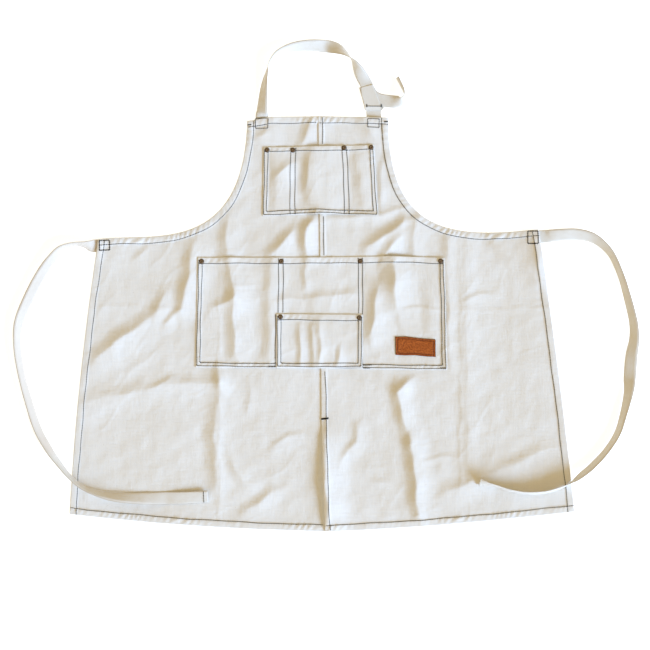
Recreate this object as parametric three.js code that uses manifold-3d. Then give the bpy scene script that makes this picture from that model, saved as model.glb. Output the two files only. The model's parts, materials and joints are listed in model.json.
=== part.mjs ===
// A bib work apron of natural canvas, laid out flat with its front up, in millimetres.
// X runs across the apron, Y from the hem to the neck, and Z up from the surface that it lies on.
import * as THREE from "three";
import { mergeVertices } from "three/addons/utils/BufferGeometryUtils.js";
import Module from "manifold-3d";

const wasm = await Module();
wasm.setup();

// Driving dimensions
const CLOTH = 1.0; // one layer of canvas
const HEM_WIDTH = 13; // turned and stitched edge
const HEM_EXTRA = 1.1; // what the turned layers add to a hem
const TAPE_WIDTH = 25;
const TAPE = 1.4; // thickness of the herringbone tape
const LEATHER = 1.6;
const GAP = 0.3; // clearance between pieces that lie on each other
const LATTICE = 26; // spacing of the nodes at which the lie of the cloth is worked out
const CURVE_STEPS = 14; // straight lengths that stand for one curved edge
const REACH_UP = 60; // height of the cutting prisms, well over the highest fold
const LAP = 12; // how far the right panel laps over the left one
const LAP_FADE = 50; // width over which the lap settles back to the surface
const FOLD_TAPER = 0.4; // share of its height that a fold loses towards its ends
const MERGE = 1e-4; // vertices closer than this are one
const STRAIGHT = 0.02; // sine of the turn below which two edges run on
const LOWER_FACE = 0; // side of a tape's section that is split along the same diagonal as its upper face

// Corners of the body, front view
const BIB_LEFT = [-149.6, 329.1];
const BIB_SHOULDER = [-104, 337.5];
const BIB_SEAM = [-8, 338.9];
const BIB_RIGHT = [132.8, 336.1];
const WAIST_LEFT = [-447.2, 93.1];
const WAIST_RIGHT = [432.4, 113.1];
const HEM_LEFT = [-504.8, -456.9];
const HEM_RIGHT = [504.8, -451.9];
const HEM_SEAM = [6, -491.5];

// Control points of the curved edges
const ARMHOLE_LEFT = [-157.8, 51.5, -346.1, 108.7];
const ARMHOLE_RIGHT = [132.0, 100.8, 260.5, 93.7];
const SIDE_LEFT = [-490, -182];
const SIDE_RIGHT = [476.6, -169.4];
const SWEEP_LEFT = [-260, -486];
const SWEEP_RIGHT = [206, -485.9];

// Edge of the lap from neck to hem; the lowest stretch is the open slit
const LAP_EDGE = [
  BIB_SEAM,
  [-4, 57],
  [-1.6, -268],
  HEM_SEAM,
];

// Pocket outlines, clockwise from the top left corner
const BIB_POCKET = [[-116.8, 276.9], [103.2, 281.5], [112.4, 140.3], [-5, 144], [-119.2, 139.5]];
const LOWER_POCKET = [[-248, 56.5], [-6, 57], [138, 59.5], [244.4, 56.3], [250, -168.1], [-253, -162.5]];
const CENTRE_POCKET = [[-90.8, -55.9], [81.2, -57.3], [80.8, -164], [-91.2, -163.4]];
const PATCH = [
  [146.4, -101.9],
  [168, -101.7],
  [226.8, -107.5],
  [227.2, -142.3],
  [186, -138.9],
  [147.2, -138.3],
];

const asRecords = (columns, rows) =>
  rows.map((row) => Object.fromEntries(columns.map((column, place) => [column, row[place]])));

// A fold is a rounded ridge: its ends, how far it bows to its left, its height and how far it spreads
const FOLD_COLUMNS = ["x1", "y1", "x2", "y2", "bow", "height", "reach"];
const BODY_FOLDS = asRecords(FOLD_COLUMNS, [
  [-18, 328, -38, 284, 0, 3.5, 30],
  [-104, 312, -134, 292, 0, 2.5, 30],
  [80, 330, 112, 290, 0, 3, 32],
  [-16, 132, -28, 62, -14, 5, 30],
  [-54, 112, -102, 64, 0, 3.5, 32],
  [166, 128, 92, 78, 0, 6, 32],
  [156, 100, 126, 60, 0, 4.5, 30],
  [188, 130, 184, 66, 0, 3.5, 32],
  [-188, 130, -190, 62, 0, 3.5, 32],
  [-256, 80, -280, -48, 0, 5.5, 36],
  [-330, -52, -450, -144, 0, 8, 40],
  [-312, -14, -330, -50, 0, 4, 30],
  [-204, -198, -210, -408, -6, 5, 38],
  [146, -205, 170, -210, 0, 4, 30],
  [170, -210, 192, -458, 0, 8, 40],
  [346, 84, 432, 10, 0, 6, 42],
  [250, 90, 256, -168, 0, 4, 32],
  [288, 90, 292, -360, 0, 4, 34],
  [252, -410, 318, -384, 0, 4, 36],
  [318, -384, 452, -326, 0, 4, 40],
  [-182, -346, -156, -392, 0, 3, 30],
  [-150, -448, -100, -414, 0, 3, 30],
]);
const BIB_POCKET_FOLDS = asRecords(FOLD_COLUMNS, [
  [-26, 256, -26, 194, 0, 3, 26],
  [-62, 240, -92, 218, 0, 2.2, 24],
]);
const LOWER_POCKET_FOLDS = asRecords(FOLD_COLUMNS, [
  [-186, 40, -176, -22, 0, 3.2, 30],
  [-176, -22, -174, -136, 0, 3.4, 30],
  [-178, -22, -214, -44, 0, 2.6, 26],
  [144, 36, 146, -36, 0, 4.2, 30],
  [110, -2, 94, -72, 0, 3.8, 26],
]);
const SLIT_FOLDS = asRecords(FOLD_COLUMNS, [[4, -330, 12, -470, 0, 7, 46]]);

// Where the tape ends are sewn under the cloth: a level rise that fades out
const LIFT_COLUMNS = ["x", "y", "level", "fade"];
const TAPE_LIFTS = asRecords(LIFT_COLUMNS, [
  [-120, 327, 62, 112],
  [104, 327, 62, 112],
  [-432, 81, 60, 115],
  [418, 97.5, 60, 115],
]);

// Routes of the tapes: plan position, roll about the route, and the height of what they lie on;
// a cloth value of 1 lays the tape on the panels
const TAPE_COLUMNS = ["x", "y", "roll", "base", "cloth"];
const LEFT_TIE = asRecords(TAPE_COLUMNS, [
  [-414, 80.5, 0, 0, 0],
  [-451, 80, 0, 0, 0],
  [-463, 79.5, -36, 0, 0],
  [-475, 80.5, -62, 0, 0],
  [-490, 82, -74, 0, 0],
  [-508, 78.5, -70, 0, 0],
  [-523, 70, -58, 0, 0],
  [-537.5, 54, -48, 0, 0],
  [-553, 33.5, -42, 0, 0],
  [-571, 3, -38, 0, 0],
  [-589.5, -35.5, -40, 0, 0],
  [-603, -69.5, -48, 0, 0],
  [-607, -100, -56, 0, 0],
  [-605, -139, -60, 0, 0],
  [-596.5, -185, -62, 0, 0],
  [-583.5, -233, -58, 0, 0],
  [-566.5, -285, -56, 0, 0],
  [-547, -321, -58, 0, 0],
  [-527, -350, -66, 0, 1],
  [-502, -381, -76, 0, 1],
  [-476, -401.5, -74, 0, 1],
  [-443, -414.5, -64, 0, 1],
  [-404, -421.5, -44, 0, 1],
  [-344, -424.5, -14, 0, 1],
  [-284, -424, 8, 0, 1],
  [-228, -421.5, 14, 0, 1],
]);
const RIGHT_TIE = asRecords(TAPE_COLUMNS, [
  [400, 97.5, 0, 0, 0],
  [442, 98.4, 0, 0, 0],
  [458, 99.8, 13, 0, 0],
  [481, 101.6, 22, 0, 0],
  [508, 102, 27, 0, 0],
  [536, 96, 40, 0, 0],
  [559, 81, 54, 0, 0],
  [576, 62, 62, 0, 0],
  [589, 35, 65, 0, 0],
  [600, 5, 63, 0, 0],
  [610.5, -33, 58, 0, 0],
  [620, -73, 53, 0, 0],
  [622, -105, 44, 0, 0],
  [618, -139, 24, 0, 0],
  [615, -178, 18, 0, 0],
  [610.5, -213, 46, 0, 0],
  [601, -253, 61, 0, 0],
  [588.5, -293, 65, 0, 0],
  [567.5, -327, 67, 0, 0],
  [540, -357, 65, 0, 1],
  [514, -379, 70, 0, 1],
  [496, -393, 90, 0, 1],
  [476, -404, 102, 0, 1],
  [446, -413, 104, 0, 1],
  [412, -415, 104, 0, 1],
  [378, -410, 102, 0, 1],
  [348, -400.5, 101, 0, 1],
  [330, -396, 108, 0, 1],
  [314, -391.4, 134, 0, 1],
]);
const NECK_STRAP = asRecords(TAPE_COLUMNS, [
  [-120, 316, 0, 0, 0],
  [-120, 338, 0, 0, 0],
  [-120.2, 345.5, -26, 0, 0],
  [-120.3, 362, -40, 0, 0],
  [-118.9, 384, -50, 0, 0],
  [-115.5, 408, -65, 0, 0],
  [-111.2, 425, -78, 0, 0],
  [-107.3, 438, -90, 0, 0],
  [-98.5, 449.5, -107, 0, 0],
  [-84, 463, -124, 0, 0],
  [-60, 473.5, -136, 0, 0],
  [-34, 478.5, -148, 0, 0],
  [-8, 479.4, -158, 0, 0],
  [20, 477, -190, 0, 0],
  [41, 469, -228, 0, 0],
  [57, 455, -266, 0, 0],
  [71, 432, -318, 0, 0],
  [86, 407.5, -360, 1.5, 0],
  [93, 392.5, -360, 1.5, 0],
  [101, 380.5, -360, 1.5, 0],
  [112, 373.1, -360, 1.5, 0],
  [125, 369.9, -360, 1.5, 0],
  [138, 368.3, -356, 0.8, 0],
  [150, 367.5, -336, 0, 0],
  [161, 370, -308, 0, 0],
  [165.5, 378, -280, 0, 0],
  [163, 389, -266, 0, 0],
  [157, 401.5, -262, 0, 0],
  [150, 415.5, -262, 0, 0],
]);

// The neck loop: a tape folded at its left side, open at the top and the right, above a short sewn tab
const LOOP_FACE = [[75, 395.9], [101, 402.5], [124, 356], [85.6, 355.4]];
const LOOP_TAB = [[90, 360], [118, 360], [117, 315.5], [90, 315.5]];
const LOOP_WALL = 1.4;
const LOOP_CLEAR = 3.3; // height of the underside of the loop's front layer

// Rivets at the pocket mouths
const RIVET_RADIUS = 5;
const RIVET_HEIGHT = 2.4;
const RIVET_SIDES = 12;
const RIVET_PROFILE = asRecords(["out", "up"], [
  [1, 0],
  [1, 0.35],
  [0.8, 0.75],
  [0.45, 1],
]);
const BIB_RIVETS = [[-109.6, 271.1], [-58, 270.9], [44.2, 275.5], [98.2, 276.3]];
const LOWER_RIVETS = [[-240.4, 48.6], [-81.2, 48.6], [77.4, 49], [237, 49.1]];
const CENTRE_RIVETS = [[-83, -62.3], [74.6, -64]];

const smooth = (value) => {
  const part = THREE.MathUtils.clamp(value, 0, 1);
  return part * part * (3 - 2 * part);
};

// Height of one fold at a point: full on its line, bowed to one side, lower towards its ends
function ridge(fold, x, y) {
  const runX = fold.x2 - fold.x1;
  const runY = fold.y2 - fold.y1;
  const length = Math.hypot(runX, runY);
  const free = ((x - fold.x1) * runX + (y - fold.y1) * runY) / length ** 2;
  const along = THREE.MathUtils.clamp(free, 0, 1);
  const bow = 4 * fold.bow * along * (1 - along);
  const across = ((y - fold.y1) * runX - (x - fold.x1) * runY) / length - bow;
  const past = (free - along) * length;
  const far = Math.hypot(across, past) / fold.reach;
  const taper = 1 - FOLD_TAPER * (2 * along - 1) ** 2;
  return far < 1 ? fold.height * taper * (1 - far ** 2) ** 2 : 0;
}

const ridges = (folds, x, y) => folds.reduce((sum, fold) => sum + ridge(fold, x, y), 0);

const tapeLift = (x, y) =>
  TAPE_LIFTS.reduce((highest, lift) => {
    const far = Math.hypot(x - lift.x, y - lift.y);
    const share = 1 - smooth((far - lift.level) / (lift.fade - lift.level));
    return Math.max(highest, (TAPE + GAP) * share);
  }, 0);

// Across position of the lap's edge at a height of the apron
function lapAt(y) {
  const place = LAP_EDGE.findIndex((point, row) => row > 0 && y >= point[1]);
  const row = place < 0 ? LAP_EDGE.length - 1 : place;
  const [xa, ya] = LAP_EDGE[row - 1];
  const [xb, yb] = LAP_EDGE[row];
  return xa + ((xb - xa) * (y - ya)) / (yb - ya);
}

// Share of the rise of what lies over the lap, whole for one node to each side of it
function overLap(x, y) {
  const middle = lapAt(y) + HEM_WIDTH / 2;
  const beyond = Math.abs(x - middle) - HEM_WIDTH / 2 - LATTICE;
  return 1 - smooth(beyond / LAP_FADE);
}

// Undersides of the layers, worked out at the lattice nodes
const leftUnder = (x, y) => ridges(BODY_FOLDS, x, y) + tapeLift(x, y);
const rightUnder = (x, y) =>
  leftUnder(x, y) + (CLOTH + GAP) * overLap(x, y) + ridges(SLIT_FOLDS, x, y);
const pocketUnder = (x, y) =>
  leftUnder(x, y) + CLOTH + GAP + (CLOTH + GAP + HEM_EXTRA) * overLap(x, y);
const bibPocketUnder = (x, y) => pocketUnder(x, y) + ridges(BIB_POCKET_FOLDS, x, y);
const lowerPocketUnder = (x, y) => pocketUnder(x, y) + ridges(LOWER_POCKET_FOLDS, x, y);
const overLowerPocket = (x, y) => lowerPocketUnder(x, y) + CLOTH + GAP;

// Height of a layer between its nodes, on the same triangles that the sheets have
function onLattice(under, x, y) {
  const column = Math.floor(x / LATTICE);
  const row = Math.floor(y / LATTICE);
  const u = x / LATTICE - column;
  const v = y / LATTICE - row;
  const at = (i, j) => under((column + i) * LATTICE, (row + j) * LATTICE);
  if ((column + row) % 2 === 0) {
    const bend = u > v ? [at(1, 0), 1 - v / Math.max(u, 1e-9)] : [at(0, 1), 1 - u / Math.max(v, 1e-9)];
    const reach = Math.max(u, v);
    const ends = at(0, 0) * (1 - reach);
    return ends + reach * (bend[0] * bend[1] + at(1, 1) * (1 - bend[1]));
  }
  if (u + v < 1) {
    return at(0, 0) * (1 - u - v) + at(1, 0) * u + at(0, 1) * v;
  }
  return at(1, 1) * (u + v - 1) + at(1, 0) * (1 - v) + at(0, 1) * (1 - u);
}

function closedGeometry(positions, triangles) {
  const geometry = new THREE.BufferGeometry();
  geometry.setAttribute("position", new THREE.Float32BufferAttribute(positions, 3));
  geometry.setIndex(triangles);
  geometry.computeVertexNormals();
  return geometry;
}

function solidOf(geometry) {
  const bare = geometry.clone();
  bare.deleteAttribute("normal");
  bare.deleteAttribute("uv");
  const merged = mergeVertices(bare, MERGE);
  const vertProperties = new Float32Array(merged.getAttribute("position").array);
  const triVerts = new Uint32Array(merged.getIndex().array);
  return new wasm.Manifold(new wasm.Mesh({ numProp: 3, vertProperties, triVerts }));
}

function geometryOf(solid) {
  const mesh = solid.getMesh();
  return closedGeometry(Array.from(mesh.vertProperties), Array.from(mesh.triVerts));
}

// A layer of cloth over a box of lattice cells, of even thickness and not yet cut to its outline
function latticeSheet(box, under, thickness) {
  const first = [Math.floor(box.min.x / LATTICE), Math.floor(box.min.y / LATTICE)];
  const last = [Math.ceil(box.max.x / LATTICE), Math.ceil(box.max.y / LATTICE)];
  const columns = last[0] - first[0] + 1;
  const rows = last[1] - first[1] + 1;
  const count = columns * rows;
  const lower = [];
  const upper = [];
  for (let row = 0; row < rows; row += 1) {
    for (let column = 0; column < columns; column += 1) {
      const x = (first[0] + column) * LATTICE;
      const y = (first[1] + row) * LATTICE;
      const z = under(x, y);
      lower.push(x, y, z);
      upper.push(x, y, z + thickness);
    }
  }
  const triangles = [];
  const layer = (a, b, c) => triangles.push(a + count, b + count, c + count, c, b, a);
  for (let row = 0; row < rows - 1; row += 1) {
    for (let column = 0; column < columns - 1; column += 1) {
      const a = row * columns + column;
      const b = a + 1;
      const c = b + columns;
      const d = a + columns;
      const even = (first[0] + column + first[1] + row) % 2 === 0;
      layer(a, b, even ? c : d);
      layer(even ? a : b, c, d);
    }
  }
  const wall = (a, b) => triangles.push(a, b, b + count, a, b + count, a + count);
  for (let column = 0; column < columns - 1; column += 1) {
    const top = (rows - 1) * columns + column;
    wall(column, column + 1);
    wall(top + 1, top);
  }
  for (let row = 0; row < rows - 1; row += 1) {
    const left = row * columns;
    const right = left + columns - 1;
    wall(left + columns, left);
    wall(right, right + columns);
  }
  return solidOf(closedGeometry([...lower, ...upper], triangles));
}

const asPoints = (corners) => corners.map(([x, y]) => new THREE.Vector2(x, y));

function plate(points, bottom, height) {
  const geometry = new THREE.ExtrudeGeometry(new THREE.Shape(points), { depth: height, bevelEnabled: false });
  return geometry.translate(0, 0, bottom);
}

const prism = (points) => solidOf(plate(points, -REACH_UP, 2 * REACH_UP));

// The outline moved inwards by a width, measured square to each edge
function inset(points, width) {
  const area = THREE.ShapeUtils.area(points);
  const edges = points.map((start, place) => {
    const end = points[(place + 1) % points.length];
    const run = end.clone().sub(start).normalize();
    const inward = new THREE.Vector2(-run.y, run.x).multiplyScalar(Math.sign(area));
    const moved = start.clone().addScaledVector(inward, width);
    return { moved, run };
  });
  return edges.map((edge, place) => {
    const before = edges[(place + edges.length - 1) % edges.length];
    const turn = before.run.cross(edge.run);
    if (Math.abs(turn) < STRAIGHT) {
      return edge.moved;
    }
    const step = edge.moved.clone().sub(before.moved).cross(edge.run) / turn;
    return before.moved.clone().addScaledVector(before.run, step);
  });
}

// A piece of cloth: a sheet cut to its outline, thicker over the band that is turned for a hem
function clothPiece(points, under, thickness, hemBand) {
  const box = new THREE.Box2().setFromPoints(points);
  const outline = prism(points);
  const cut = latticeSheet(box, under, thickness).intersect(outline);
  if (!hemBand) {
    return geometryOf(cut);
  }
  const band = latticeSheet(box, under, thickness + HEM_EXTRA).intersect(hemBand(outline));
  return geometryOf(cut.add(band));
}

// Outline of one panel, from the seam round the bib, armhole, side and hem back to the seam
function panelOutline(side, seamShift) {
  const left = side === "left";
  const outline = new THREE.Shape();
  outline.moveTo(BIB_SEAM[0] + seamShift, BIB_SEAM[1]);
  if (left) {
    outline.lineTo(...BIB_SHOULDER);
  }
  outline.lineTo(...(left ? BIB_LEFT : BIB_RIGHT));
  outline.bezierCurveTo(...(left ? ARMHOLE_LEFT : ARMHOLE_RIGHT), ...(left ? WAIST_LEFT : WAIST_RIGHT));
  outline.quadraticCurveTo(...(left ? SIDE_LEFT : SIDE_RIGHT), ...(left ? HEM_LEFT : HEM_RIGHT));
  outline.quadraticCurveTo(...(left ? SWEEP_LEFT : SWEEP_RIGHT), HEM_SEAM[0] + seamShift, HEM_SEAM[1]);
  for (const [x, y] of LAP_EDGE.slice(1, -1).reverse()) {
    outline.lineTo(x + seamShift, y);
  }
  return outline.extractPoints(CURVE_STEPS).shape;
}

// The strip of the left panel that the right one covers, where the left one is not turned
function lapStrip() {
  const ends = [LAP, 0, 0, -LAP];
  const edge = LAP_EDGE.map(([x, y], row) => [x - 2 * GAP, y + ends[row]]);
  const far = edge.map(([x, y]) => [x + 2 * LAP, y]);
  return asPoints([...edge, ...far.reverse()]);
}

function panel(side) {
  const left = side === "left";
  const points = panelOutline(side, left ? LAP : 0);
  const hemBand = (outline) => {
    const band = outline.subtract(prism(inset(points, HEM_WIDTH)));
    return left ? band.subtract(prism(lapStrip())) : band;
  };
  return clothPiece(points, left ? leftUnder : rightUnder, CLOTH, hemBand);
}

// A pocket, with the hem along its mouth, which is the stretch of outline up to its last top corner
function pocket(corners, mouthCount, under) {
  const mouth = corners.slice(0, mouthCount);
  const lowered = mouth.map(([x, y]) => [x, y - HEM_WIDTH]).reverse();
  const band = prism(asPoints([...mouth.map(([x, y]) => [x, y + HEM_WIDTH]), ...lowered]));
  return clothPiece(asPoints(corners), under, CLOTH, (outline) => outline.intersect(band));
}

// A flat tape swept along its route, turned about it by the roll of each row
function tape(route) {
  const half = TAPE_WIDTH / 2;
  const stations = route.map((row) => {
    const roll = THREE.MathUtils.degToRad(row.roll);
    const level = row.cloth ? clothLevel(row, roll) : row.base;
    const z = level + half * Math.abs(Math.sin(roll)) + (TAPE / 2) * Math.abs(Math.cos(roll));
    return { point: new THREE.Vector3(row.x, row.y, z), roll };
  });
  const curve = new THREE.CatmullRomCurve3(stations.map((station) => station.point));
  const steps = (stations.length - 1) * 2;
  const positions = [];
  for (let step = 0; step <= steps; step += 1) {
    const place = step / 2;
    const before = stations[Math.floor(place)];
    const after = stations[Math.ceil(place)];
    const roll = (before.roll + after.roll) / 2;
    const centre = curve.getPoint(step / steps);
    const forward = curve.getTangent(step / steps);
    const side = new THREE.Vector3(-forward.y, forward.x, 0).normalize();
    const up = forward.clone().cross(side);
    const wide = side.clone().multiplyScalar(Math.cos(roll)).addScaledVector(up, Math.sin(roll));
    const thick = up.clone().multiplyScalar(Math.cos(roll)).addScaledVector(side, -Math.sin(roll));
    for (const [across, over] of [[1, -1], [-1, -1], [-1, 1], [1, 1]]) {
      const corner = centre.clone().addScaledVector(wide, across * half);
      corner.addScaledVector(thick, (over * TAPE) / 2);
      positions.push(corner.x, corner.y, corner.z);
    }
  }
  const triangles = [0, 1, 2, 0, 2, 3];
  for (let step = 0; step < steps; step += 1) {
    for (let corner = 0; corner < 4; corner += 1) {
      const a = step * 4 + corner;
      const b = step * 4 + ((corner + 1) % 4);
      if (corner === LOWER_FACE) {
        triangles.push(a, a + 4, b, a + 4, b + 4, b);
      } else {
        triangles.push(a, a + 4, b + 4, a, b + 4, b);
      }
    }
  }
  const end = steps * 4;
  triangles.push(end, end + 2, end + 1, end, end + 3, end + 2);
  return closedGeometry(positions, triangles);
}

// Top of the hemmed cloth under a tape, highest across the tape's width
function clothLevel(row, roll) {
  const under = row.x > lapAt(row.y) ? rightUnder : leftUnder;
  const spread = (TAPE_WIDTH / 2) * Math.cos(roll) + TAPE;
  const heights = [-spread, 0, spread].map((offset) => onLattice(under, row.x, row.y + offset));
  return Math.max(...heights) + CLOTH + HEM_EXTRA + 2 * GAP;
}

function neckLoop() {
  const [topLeft, topRight, lowRight, lowLeft] = LOOP_FACE;
  const inwards = ([x, y]) => [x + LOOP_WALL, y];
  const below = ([x, y]) => [x, y - LOOP_WALL];
  const flank = [topLeft, inwards(topLeft), inwards(lowLeft), lowLeft];
  const foot = [lowLeft, lowRight, below(lowRight), below(lowLeft)];
  const face = [topLeft, topRight, lowRight, below(lowRight), below(lowLeft), lowLeft];
  const layers = [
    plate(asPoints(face), 0, TAPE - GAP),
    plate(asPoints(face), LOOP_CLEAR, TAPE),
    plate(asPoints(flank), 0, LOOP_CLEAR + TAPE),
    plate(asPoints(foot), 0, LOOP_CLEAR + TAPE),
    plate(asPoints(LOOP_TAB), 0, TAPE),
  ];
  return geometryOf(layers.map(solidOf).reduce((whole, layer) => whole.add(layer)));
}

// A domed rivet cap with a raised rim, standing on the highest cloth under it
function rivetCap() {
  const flank = RIVET_PROFILE.map((row) => [RIVET_RADIUS * row.out, RIVET_HEIGHT * row.up]);
  const profile = [[0, 0], ...flank, [0, RIVET_HEIGHT]];
  const lathe = new THREE.LatheGeometry(asPoints(profile), RIVET_SIDES);
  return lathe.rotateX(Math.PI / 2);
}

function rivetSeat([x, y], under) {
  const rim = [0, 1, 2, 3, 4, 5, 6, 7].map((turn) => (turn * Math.PI) / 4);
  const heights = rim.map((angle) =>
    onLattice(under, x + RIVET_RADIUS * Math.cos(angle), y + RIVET_RADIUS * Math.sin(angle)),
  );
  return Math.max(...heights, onLattice(under, x, y)) + CLOTH + HEM_EXTRA + GAP;
}

const canvas = () => new THREE.MeshStandardMaterial({ color: 0xece4d2, roughness: 0.95, metalness: 0 });
const cottonTape = () => new THREE.MeshStandardMaterial({ color: 0xf0ead9, roughness: 0.95, metalness: 0 });
const leather = () => new THREE.MeshStandardMaterial({ color: 0xc98a4b, roughness: 0.6, metalness: 0 });
const bronze = () => new THREE.MeshStandardMaterial({ color: 0x5b4a35, roughness: 0.4, metalness: 1 });

const apron = new THREE.Group();
function addPiece(name, geometry, material) {
  const piece = new THREE.Mesh(geometry, material);
  piece.name = name;
  apron.add(piece);
  return piece;
}

addPiece("left_panel", panel("left"), canvas());
addPiece("right_panel", panel("right"), canvas());
addPiece("bib_pocket", pocket(BIB_POCKET, 2, bibPocketUnder), canvas());
addPiece("lower_pocket", pocket(LOWER_POCKET, 4, lowerPocketUnder), canvas());
addPiece("centre_pocket", pocket(CENTRE_POCKET, 2, overLowerPocket), canvas());
addPiece("leather_patch", clothPiece(asPoints(PATCH), overLowerPocket, LEATHER), leather());
addPiece("neck_strap", tape(NECK_STRAP), cottonTape());
addPiece("neck_loop", neckLoop(), cottonTape());
addPiece("left_tie", tape(LEFT_TIE), cottonTape());
addPiece("right_tie", tape(RIGHT_TIE), cottonTape());

function addRivets(name, places, under) {
  places.forEach((place, row) => {
    const cap = addPiece(`${name}_${row + 1}`, rivetCap(), bronze());
    cap.position.set(place[0], place[1], rivetSeat(place, under));
  });
}

addRivets("bib_rivet", BIB_RIVETS, bibPocketUnder);
addRivets("pocket_rivet", LOWER_RIVETS, lowerPocketUnder);
addRivets("centre_rivet", CENTRE_RIVETS, overLowerPocket);

export default apron;
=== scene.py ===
"""Canvas work apron laid out flat with its front up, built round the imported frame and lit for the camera.

Lengths in the tables and fields are millimetres in the frame's axes; meshes are made in metres.
"""

import json
import logging
import math
from dataclasses import dataclass, field
from enum import Enum
from typing import Any, Callable, Iterable, NamedTuple, Sequence

import bpy
import numpy as np
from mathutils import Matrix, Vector
from mathutils.geometry import delaunay_2d_cdt

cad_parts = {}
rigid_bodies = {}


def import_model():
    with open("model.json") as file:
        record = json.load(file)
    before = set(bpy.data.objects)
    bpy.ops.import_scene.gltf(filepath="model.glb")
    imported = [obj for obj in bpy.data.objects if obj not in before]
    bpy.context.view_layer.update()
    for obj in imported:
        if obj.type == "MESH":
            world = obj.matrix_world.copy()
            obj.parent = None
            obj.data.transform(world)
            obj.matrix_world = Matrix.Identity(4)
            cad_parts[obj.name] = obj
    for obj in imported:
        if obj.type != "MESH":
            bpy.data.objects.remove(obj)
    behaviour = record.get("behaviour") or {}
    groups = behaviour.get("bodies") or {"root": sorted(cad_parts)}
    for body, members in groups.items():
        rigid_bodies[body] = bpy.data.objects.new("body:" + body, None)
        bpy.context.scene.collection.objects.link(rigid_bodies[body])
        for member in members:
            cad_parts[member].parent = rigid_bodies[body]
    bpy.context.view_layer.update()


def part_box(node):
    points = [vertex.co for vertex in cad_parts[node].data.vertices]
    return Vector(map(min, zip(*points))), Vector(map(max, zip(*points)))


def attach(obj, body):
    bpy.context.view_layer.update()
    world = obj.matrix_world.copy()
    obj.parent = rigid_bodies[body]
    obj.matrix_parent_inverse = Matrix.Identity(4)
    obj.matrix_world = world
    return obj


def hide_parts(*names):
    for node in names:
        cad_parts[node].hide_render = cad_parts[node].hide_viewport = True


MM = 0.001
BODY = "root"
CLOTH = 1.0
HEM_WIDTH = 13.0
HEM_EXTRA = 1.1
TAPE_WIDTH = 25.0
TAPE = 1.4
LEATHER = 1.6
GAP = 0.3
LAP = 12.0
FOLD_TAPER = 0.4
FOLD_GAIN = 1.5
FOLD_WAVER = ((1.9, 21.0), (1.1, 9.3))
FOLD_SWING = 0.16
FOLD_SWING_RUN = 34.0
LEAN = 0.3
LEAN_FROM = (-0.8, 0.6)
LEAN_SOFTNESS = 5.0
PUCKER_WANDER = ((3.2, 41.0), (2.3, 23.7), (1.2, 9.1))
PUCKER_MEAN = 0.62
PUCKER_SWING = 0.38
PUCKER_RUNS = (29.0, 53.0)
HEM_RINGS = (-2.0, -0.6, 1.0)
MITRE_LIMIT = 0.3
INSET_SLACK = 0.06
COTTON_SHEEN = {"Sheen Weight": 0.12, "Sheen Roughness": 0.6, "Specular IOR Level": 0.2}
SEED = 20

LOG = logging.getLogger("apron")
Array = np.ndarray
HeightAt = Callable[[Array, Array], Array]
Colour = tuple[float, float, float]
Point = tuple[float, float]
Line = tuple[Point, ...]


class Slot(Enum):
    """The finishes that the record names."""

    CANVAS = "canvas"
    TAPE = "tape"
    THREAD = "thread"
    LEATHER = "leather"
    RIVET = "rivet"


class Side(Enum):
    """The two panels of the body, by the side they lie on in the front view."""

    LEFT = "left"
    RIGHT = "right"


# Shader nodes


class Value:
    """A node's output that takes part in Python arithmetic."""

    def __init__(self, graph: "Graph", socket: bpy.types.NodeSocket) -> None:
        """Keeps the graph and the socket."""
        self.graph = graph
        self.socket = socket

    def __add__(self, other: Any) -> "Value":
        """Sum of two values."""
        return self.graph.math("ADD", self, other)

    def __sub__(self, other: Any) -> "Value":
        """This value less another."""
        return self.graph.math("SUBTRACT", self, other)

    def __rsub__(self, other: Any) -> "Value":
        """Another value less this one."""
        return self.graph.math("SUBTRACT", other, self)

    def __mul__(self, other: Any) -> "Value":
        """Product of two values."""
        return self.graph.math("MULTIPLY", self, other)

    __radd__ = __add__
    __rmul__ = __mul__

    def __truediv__(self, other: Any) -> "Value":
        """This value over another."""
        return self.graph.math("DIVIDE", self, other)

    def __gt__(self, other: Any) -> "Value":
        """One where this value is the greater, otherwise zero."""
        return self.graph.math("GREATER_THAN", self, other)

    def __lt__(self, other: Any) -> "Value":
        """One where this value is the smaller, otherwise zero."""
        return self.graph.math("LESS_THAN", self, other)

    def sine(self) -> "Value":
        """Sine of the value in radians."""
        return self.graph.math("SINE", self)

    def zigzag(self, width: float) -> "Value":
        """The value folded to and fro between zero and a width."""
        return self.graph.math("PINGPONG", self, width)


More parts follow.
